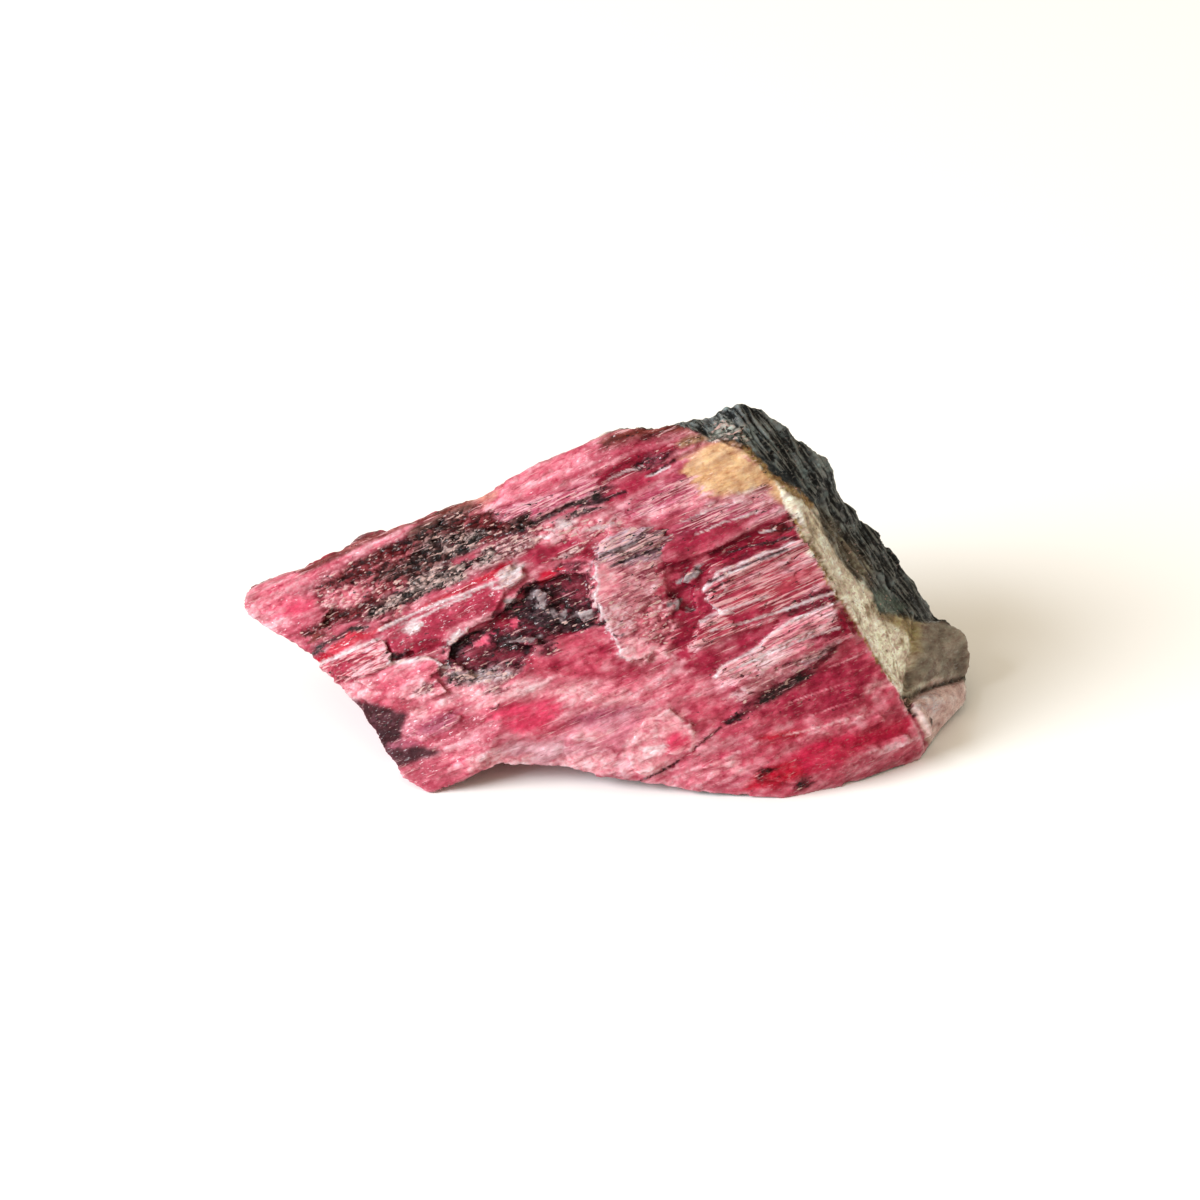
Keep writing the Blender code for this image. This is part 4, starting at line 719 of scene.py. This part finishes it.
def apply_modifiers(obj):
    graph = bpy.context.evaluated_depsgraph_get()
    obj.data = bpy.data.meshes.new_from_object(obj.evaluated_get(graph))
    obj.modifiers.clear()


def facing_eye(points, normals):
    to_eye = EYE - points
    to_eye /= np.linalg.norm(to_eye, axis=1)[:, None]
    return (normals * to_eye).sum(1)


def fine_mesh(node):
    """A fine, even mesh of the solid, thinned out where the camera does not see it."""
    stone = bpy.data.objects.new("stone_surface", node.data.copy())
    bpy.context.scene.collection.objects.link(stone)
    remesh = stone.modifiers.new("fine", "REMESH")
    remesh.mode = "VOXEL"
    remesh.voxel_size = VOXEL * MM
    apply_modifiers(stone)
    mesh = stone.data
    normals = averaged(get_normals(mesh), edge_ends(mesh), CALM_ROUNDS)
    hidden = ramp(-facing_eye(get_points(mesh), normals), -HIDDEN_TURN, HIDDEN_TURN)
    group = stone.vertex_groups.new(name="hidden")
    for level in range(1, HIDDEN_STEPS + 1):
        chosen = np.flatnonzero(np.round(hidden * HIDDEN_STEPS) == level)
        group.add(chosen.tolist(), level / HIDDEN_STEPS, "REPLACE")
    thin = stone.modifiers.new("thin", "DECIMATE")
    thin.ratio = MOST_TRIANGLES / (2 * len(mesh.polygons))
    thin.vertex_group = "hidden"
    thin.vertex_group_factor = HIDDEN_THINNING
    apply_modifiers(stone)
    stone.vertex_groups.clear()
    stone.data.materials.clear()
    return stone


class Surface:
    """The stone's points with what the looks depend on."""

    def __init__(self, mesh):
        self.ends = edge_ends(mesh)
        self.points = get_points(mesh)
        self.calm = averaged(get_normals(mesh), self.ends, CALM_ROUNDS)
        self.calm /= np.maximum(np.linalg.norm(self.calm, axis=1), 0.001)[:, None]
        self.seen = seen_places(self.points)
        self.blade = self.points @ BLADE_AXES.T
        self.skin = self.points @ SKIN_AXES.T
        self.skin[:, 1] += summed(self.points, "skin stray")
        self.front = ramp(facing_eye(self.points, self.calm), -FRONT_TURN, FRONT_TURN)


def warped(surface):
    """The places, strayed along and across the blades, so that outlines look broken."""
    shift_run = summed(surface.blade, "run stray")
    shift_rise = summed(surface.blade, "rise stray")
    run = np.array([math.cos(BLADE_ANGLE), math.sin(BLADE_ANGLE)])
    rise = np.array([-run[1], run[0]])
    return surface.seen + shift_run[:, None] * run + shift_rise[:, None] * rise


def softly_warped(surface):
    """The places, strayed a little, for outlines of minerals without blades."""
    names = ("soft stray right", "soft stray up")
    return surface.seen + np.stack([summed(surface.points, name) for name in names], axis=1)


def linear(colour):
    """An sRGB colour from 0 to 255 as linear light."""
    share = np.array(colour) / 255.0
    return np.where(share <= 0.04045, share / 12.92, ((share + 0.055) / 1.055) ** 2.4)


def mineral_values(name):
    main, light, dark, *amounts = MINERALS[name]
    return np.concatenate([linear(main), linear(light), linear(dark), amounts])


def plain_rose(surface):
    looks = np.zeros((len(surface.points), LOOKS))
    looks[:] = mineral_values("rose")
    return looks


def blend(looks, name, share):
    looks += (mineral_values(name) - looks) * share[:, None]


def grade(looks, values, steps):
    """Minerals that follow one another as the values rise."""
    for name, low, high in steps:
        blend(looks, name, ramp(values, low, high))


def shapes(table):
    """Each shape of a table on its own: its mineral, its size and its corners."""
    for name, size, text in table:
        for part in text.split("/"):
            yield name, size, outline_points(part)


def covered(places, shape, margin, depth, low, high):
    """How much of each place a shape covers, worked out only within a margin around it."""
    near = ((places > shape.min(0) - margin) & (places < shape.max(0) + margin)).all(1)
    share = np.zeros(len(places))
    share[near] = ramp(depth(places[near], shape), low, high)
    return share


def paint_front(surface):
    """Colours for the face: the patches, then the lines over them."""
    looks = plain_rose(surface)
    bladed = warped(surface)
    massive = softly_warped(surface)
    for name, soft, outline in shapes(PATCHES):
        places = massive if name in MASSIVE else bladed
        blend(looks, name, covered(places, outline, soft, inside_distance, -soft, soft))
    drawn = surface.seen * LINE_STEADINESS + bladed * (1 - LINE_STEADINESS)
    for name, width, line in shapes(LINES):
        start, full = LINE_EDGE[0] * width, LINE_EDGE[1] * width
        share = covered(drawn, line, 2 * width, line_depth, start, full)
        blend(looks, name, share * LINE_STRENGTH)
    return looks


def paint_back(surface):
    """Colours for what the camera does not see: black skin to the right and above, rose below."""
    points = surface.points
    blade = surface.blade
    looks = plain_rose(surface)
    bands = summed(blade, "bands")
    grade(looks, bands, BACK_PALE)
    grade(looks, -bands, BACK_DEEP)
    grade(looks, summed(blade, "ledges"), BACK_LEDGES)
    grade(looks, summed(blade, "dark clouds"), BACK_DARK)
    veins = np.abs(summed(blade, "veins") + summed(points, "vein stray"))
    blend(looks, "black fibres", 1 - ramp(veins, *VEIN_WIDTH))
    edge = points @ SKIN_SLOPE + summed(points, "skin edge")
    grade(looks, edge, BACK_SKIN)
    rust = ramp(summed(points, "rust"), *RUST_CLOUDS)
    blend(looks, "skin brown", ramp(edge, *RUST_START) * rust)
    return looks


def wander(surface, looks):
    """How far towards its lightest or darkest colour each point goes, from 1 down to -1."""
    value = summed(surface.blade, "threads")
    value += (summed(surface.blade, "grains") - value) * looks[:, COARSE]
    bare = 1 - ramp(looks[:, FIBRES], 0, 0.1)
    value += (summed(surface.points, "clouds") - value) * bare
    value += (summed(surface.skin, "streaks") - value) * looks[:, STREAKS]
    return np.clip(WANDER_STRENGTH * value, -1, 1)


def relief_height(surface, looks):
    """Fine relief, in millimetres outward."""
    fibres = looks[:, FIBRES]
    blade = surface.blade
    ribs = 0.6 * summed(blade, "ribs") + 0.5 * summed(blade, "steps")
    height = FIBRE_HEIGHT * (LEAST_RELIEF + fibres) * ribs
    near, far, number = cells(blade / np.array(GRAIN_SIZE), GRAIN_SEED)
    grained = looks[:, COARSE] * (LEAST_RELIEF + (1 - LEAST_RELIEF) * ramp(fibres, 0, 0.1))
    height += GRAIN_HEIGHT * grained * (0.4 * number + ramp(far - near, 0, 0.35) - 0.7)
    height += LUMP_HEIGHT * summed(surface.points, "lumps")
    height += SKIN_HEIGHT * looks[:, STREAKS] * summed(surface.skin, "ridges")
    near, far, number = cells(blade / np.array(CHIP_SIZE), CHIP_SEED)
    height += CHIP_HEIGHT * (1 - surface.front) * number * ramp(far - near, 0, 0.3)
    height *= 1 - ramp(surface.seen[:, 0], *LUMPS_FROM) * surface.front * LUMPS_CALM
    for swell, text in LUMPS:
        inside = inside_distance(surface.seen, outline_points(text))
        seam = SEAM_DEPTH * ramp(-np.abs(inside), *SEAM_SLOPE)
        height += swell * (ramp(inside, *LUMP_SLOPE) - seam) * surface.front
    return height


def jagged(surface, looks):
    """Splinters slide along the blades, so that ledges end in teeth."""
    slide = JAG * summed(surface.blade, "teeth")
    calm = ramp(looks[:, FIBRES], 0.3, 0.8) * surface.front
    return (slide * calm)[:, None] * BLADE_AXES[0]


def mineral_colour(looks, tone):
    """The main colour, turned lighter where tone is above 0 and darker where it is below."""
    main = looks[:, MAIN]
    lighter = np.maximum(tone, 0)[:, None] * (looks[:, LIGHT] - main)
    darker = np.maximum(-tone, 0)[:, None] * (looks[:, DARK] - main)
    return main + lighter + darker


def add_attribute(mesh, name, values):
    attribute = mesh.attributes.new(name, "FLOAT_COLOR", "POINT")
    data = np.ones((len(values), 4), dtype=np.float32)
    data[:, : values.shape[1]] = values
    attribute.data.foreach_set("color", data.ravel())


def build_stone(node):
    stone = fine_mesh(node)
    mesh = stone.data
    surface = Surface(mesh)
    front = paint_front(surface)
    back = paint_back(surface)
    looks = back + (front - back) * surface.front[:, None]
    ground = ramp(surface.points[:, 2], *GROUND_FADE)
    height = relief_height(surface, looks)
    points = surface.points + surface.calm * (height * ground)[:, None]
    points += jagged(surface, looks) * ground[:, None]
    low, high = surface.points.min(0), surface.points.max(0)
    points = np.clip(points, low - BOX_MARGIN, high + BOX_MARGIN)
    set_points(mesh, points)
    # Painted light and shade on the fine relief: raised points are made lighter, as a painted highlight
    # that is partly the whiter broken edges, and sunk points darker, as painted shade
    around = averaged(points, surface.ends, EDGE_ROUNDS)
    edge = ((points - around) * surface.calm).sum(1)
    tone = wander(surface, looks) * looks[:, WANDER]
    tone = np.clip(tone + np.clip(edge / EDGE_HEIGHT, *EDGE_RANGE) * EDGE_LIGHT_AND_SHADE, -1, 1)
    add_attribute(mesh, "tint", mineral_colour(looks, tone) / np.array(LIGHT_COLOUR))
    add_attribute(mesh, "cover", looks[:, COVER])
    add_attribute(mesh, "finish", looks[:, FINISH])
    mesh.polygons.foreach_set("use_smooth", np.ones(len(mesh.polygons), dtype=bool))
    mesh.materials.append(stone_material())
    return stone


class Nodes:
    """A short way to add and join shader nodes."""

    def __init__(self, material):
        self.tree = material.node_tree
        self.tree.nodes.clear()

    def add(self, kind, inputs=None, **settings):
        node = self.tree.nodes.new(kind)
        for name, value in settings.items():
            setattr(node, name, value)
        for name, value in (inputs or {}).items():
            self.put(node.inputs[name], value)
        return node

    def put(self, socket, value):
        if isinstance(value, bpy.types.NodeSocket):
            self.tree.links.new(value, socket)
        else:
            socket.default_value = value

    def math(self, operation, first, second, third=0.0):
        inputs = {0: first, 1: second, 2: third}
        return self.add("ShaderNodeMath", inputs, operation=operation).outputs[0]

    def plus(self, first, second):
        return self.math("ADD", first, second)

    def times(self, first, second):
        return self.math("MULTIPLY", first, second)

    def scaled(self, value, factor, offset):
        return self.math("MULTIPLY_ADD", value, factor, offset)

    def mix(self, share, first, second, kind="MIX"):
        node = self.add("ShaderNodeMix", data_type="RGBA", blend_type=kind)
        self.put(node.inputs[0], share)
        self.put(node.inputs[6], first)
        self.put(node.inputs[7], second)
        return node.outputs[2]

    def noise(self, axes, sizes, detail, roughness):
        place = self.turned(axes, sizes)
        settings = {"Vector": place, "Scale": 1.0, "Detail": detail, "Roughness": roughness}
        return self.add("ShaderNodeTexNoise", settings).outputs[0]

    def facets(self, axes, sizes):
        """One number from 0 to 1 all over each little crystal."""
        node = self.add("ShaderNodeTexVoronoi", {"Vector": self.turned(axes, sizes), "Scale": 1.0})
        return self.split(node.outputs["Color"])[0]

    def step(self, value, low, high):
        settings = {0: value, 1: low, 2: high, 3: 0.0, 4: 1.0}
        return self.add("ShaderNodeMapRange", settings, interpolation_type="SMOOTHSTEP").outputs[0]

    def cover(self, noise, share, width=0.035):
        """A mask that fills about the given share of the surface."""
        mask = self.step(self.scaled(share, 0.40, noise), 0.70 - width, 0.70 + width)
        return self.times(mask, self.step(share, 0.0, 0.06))

    def split(self, colour):
        return self.add("ShaderNodeSeparateColor", {0: colour}).outputs

    def attribute(self, name):
        return self.add("ShaderNodeAttribute", attribute_name=name).outputs["Color"]

    def turned(self, axes, sizes):
        """The place on the stone along the given axes, in steps of the given sizes."""
        place = self.add("ShaderNodeTexCoord").outputs["Object"]
        node = self.add("ShaderNodeMapping", {"Vector": place})
        node.inputs["Rotation"].default_value = Matrix(axes).to_euler("XYZ")
        scale = [1 / (size * MM) for size in sizes]
        return self.add("ShaderNodeMapping", {"Vector": node.outputs[0], "Scale": scale}).outputs[0]


def stone_material():
    material = bpy.data.materials.new("rhodonite")
    material.use_nodes = True
    n = Nodes(material)
    tint = n.attribute("tint")
    fibres, specks, pale = n.split(n.attribute("cover"))
    streaks, gloss, coarse = n.split(n.attribute("finish"))

    fibre = n.noise(BLADE_AXES, (2.6, 0.14, 0.5), 3.0, 0.6)
    threads = n.noise(BLADE_AXES, (1.3, 0.10, 0.4), 2.0, 0.5)
    grain = n.noise(BLADE_AXES, (0.5, 0.26, 0.36), 3.0, 0.6)
    chips = n.noise(BLADE_AXES, (0.66, 0.20, 0.34), 2.0, 0.5)
    mottle = n.noise(BLADE_AXES, (1.3, 0.42, 0.8), 3.0, 0.5)
    glitter = n.noise(BLADE_AXES, (0.35, 0.12, 0.2), 2.0, 0.5)
    skin = n.noise(SKIN_AXES, (1.6, 0.20, 0.5), 3.0, 0.6)
    splinter = n.facets(BLADE_AXES, (0.46, 0.17, 0.28))
    crumb = n.facets(BLADE_AXES, (0.24, 0.13, 0.18))

    # Lighter and darker from crystal to crystal; the darker ones are also redder
    shade = n.scaled(mottle, 1.8, -0.06)
    shade = n.plus(shade, n.scaled(splinter, 0.26, -0.03))
    shade = n.plus(shade, n.scaled(crumb, 0.22, -0.01))
    reddened = n.add("ShaderNodeCombineXYZ", {0: n.math("POWER", shade, 0.7), 1: shade, 2: shade})
    colour = n.mix(1.0, tint, reddened.outputs[0], "MULTIPLY")

    # Each mask that is laid over the colour, with its strength and its own colour. The glints along the
    # threads and on the flecks are painted highlights, and the gaps between threads are partly painted
    # shade
    # Pale flecks on the crystals where the pale grains are, painted as glints
    fleck_glints = n.step(n.math("MULTIPLY_ADD", pale, 0.22, crumb), 0.955, 0.965)
    overlays = (
        (n.cover(fibre, n.times(fibres, 0.62), 0.05), 0.75, THREAD_GLINT_COLOUR),
        # Dark crimson gaps between the threads, partly painted shade in the valleys
        (n.cover(threads, n.times(fibres, 0.50), 0.05), 0.62, GAP_DARK_AND_SHADE_COLOUR),
        (n.cover(grain, specks), 0.92, SPECK_COLOUR),
        (n.cover(chips, pale), 0.85, CHIP_COLOUR),
        (n.times(fleck_glints, n.step(pale, 0.07, 0.22)), 0.5, FLECK_GLINT_COLOUR),
        (n.cover(skin, n.times(streaks, 0.34), 0.05), 0.6, SHEEN_COLOUR),
    )
    for mask, strength, over in overlays:
        colour = n.mix(n.times(mask, strength), colour, over)

    height = n.times(fibre, n.scaled(fibres, 0.14, 0.012))
    height = n.plus(height, n.times(grain, n.scaled(coarse, 0.16, 0.01)))
    height = n.plus(height, n.times(skin, n.times(streaks, 0.16)))
    height = n.plus(height, n.scaled(splinter, 0.035, n.times(crumb, 0.03)))
    bump = n.add("ShaderNodeBump", {"Height": height, "Distance": MM, "Strength": 0.9})

    glints = n.cover(glitter, n.times(gloss, 0.36), 0.03)
    rough = n.plus(n.scaled(gloss, -0.50, 0.72), n.scaled(chips, 0.5, -0.25))
    shine = n.scaled(glints, 0.75, n.scaled(gloss, 0.10, 0.03))
    inputs = {
        "Base Color": colour,
        "Roughness": n.scaled(glints, -0.22, rough),
        "Normal": bump.outputs[0],
        "Specular IOR Level": shine,
        "Subsurface Weight": GLOW_SHARE,
        "Subsurface Radius": [reach * MM for reach in GLOW_REACH],
        "Subsurface Scale": 1.0,
    }
    shader = n.add("ShaderNodeBsdfPrincipled", inputs)
    n.add("ShaderNodeOutputMaterial", {"Surface": shader.outputs[0]})
    return material


def add_floor():
    bpy.ops.mesh.primitive_plane_add(size=FLOOR_SIZE, location=(0, 0, 0))
    floor = bpy.context.object
    floor.name = "floor"
    material = bpy.data.materials.new("floor_white")
    material.use_nodes = True
    shader = material.node_tree.nodes["Principled BSDF"]
    shader.inputs["Base Color"].default_value = FLOOR_COLOUR
    shader.inputs["Roughness"].default_value = FLOOR_ROUGHNESS
    shader.inputs["Specular IOR Level"].default_value = FLOOR_SHINE
    floor.data.materials.append(material)


def look_at(obj, target):
    """Turn a light or camera so that it points at a place, given in millimetres."""
    way = Vector(target) * MM - obj.location
    obj.rotation_euler = way.to_track_quat("-Z", "Y").to_euler()


def add_light():
    """Even light from the room, and a window to the left."""
    world = bpy.data.worlds.new("room")
    bpy.context.scene.world = world
    world.use_nodes = True
    background = world.node_tree.nodes["Background"]
    background.inputs["Color"].default_value = ROOM_COLOUR
    background.inputs["Strength"].default_value = ROOM_STRENGTH
    light = bpy.data.lights.new("window", "AREA")
    light.shape = "RECTANGLE"
    light.size = WINDOW_SIZE[0] * MM
    light.size_y = WINDOW_SIZE[1] * MM
    light.energy = WINDOW_POWER
    light.color = WINDOW_COLOUR
    obj = bpy.data.objects.new("window", light)
    obj.location = Vector(WINDOW_PLACE) * MM
    bpy.context.scene.collection.objects.link(obj)
    look_at(obj, WINDOW_AIM)


def add_camera():
    camera = bpy.data.cameras.new("camera")
    camera.lens = LENS
    camera.sensor_width = SENSOR
    camera.clip_start = NEAREST_SEEN
    camera.clip_end = FARTHEST_SEEN
    obj = bpy.data.objects.new("camera", camera)
    obj.location = Vector(EYE) * MM
    bpy.context.scene.collection.objects.link(obj)
    look_at(obj, FACE_CENTRE)
    bpy.context.scene.camera = obj


def main():
    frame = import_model()
    stone = build_stone(frame["nodes"]["rhodonite"])
    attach(stone, "root")
    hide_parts("rhodonite")
    add_floor()
    add_light()
    add_camera()
    bpy.context.scene.view_settings.view_transform = "Standard"
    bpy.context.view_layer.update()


main()
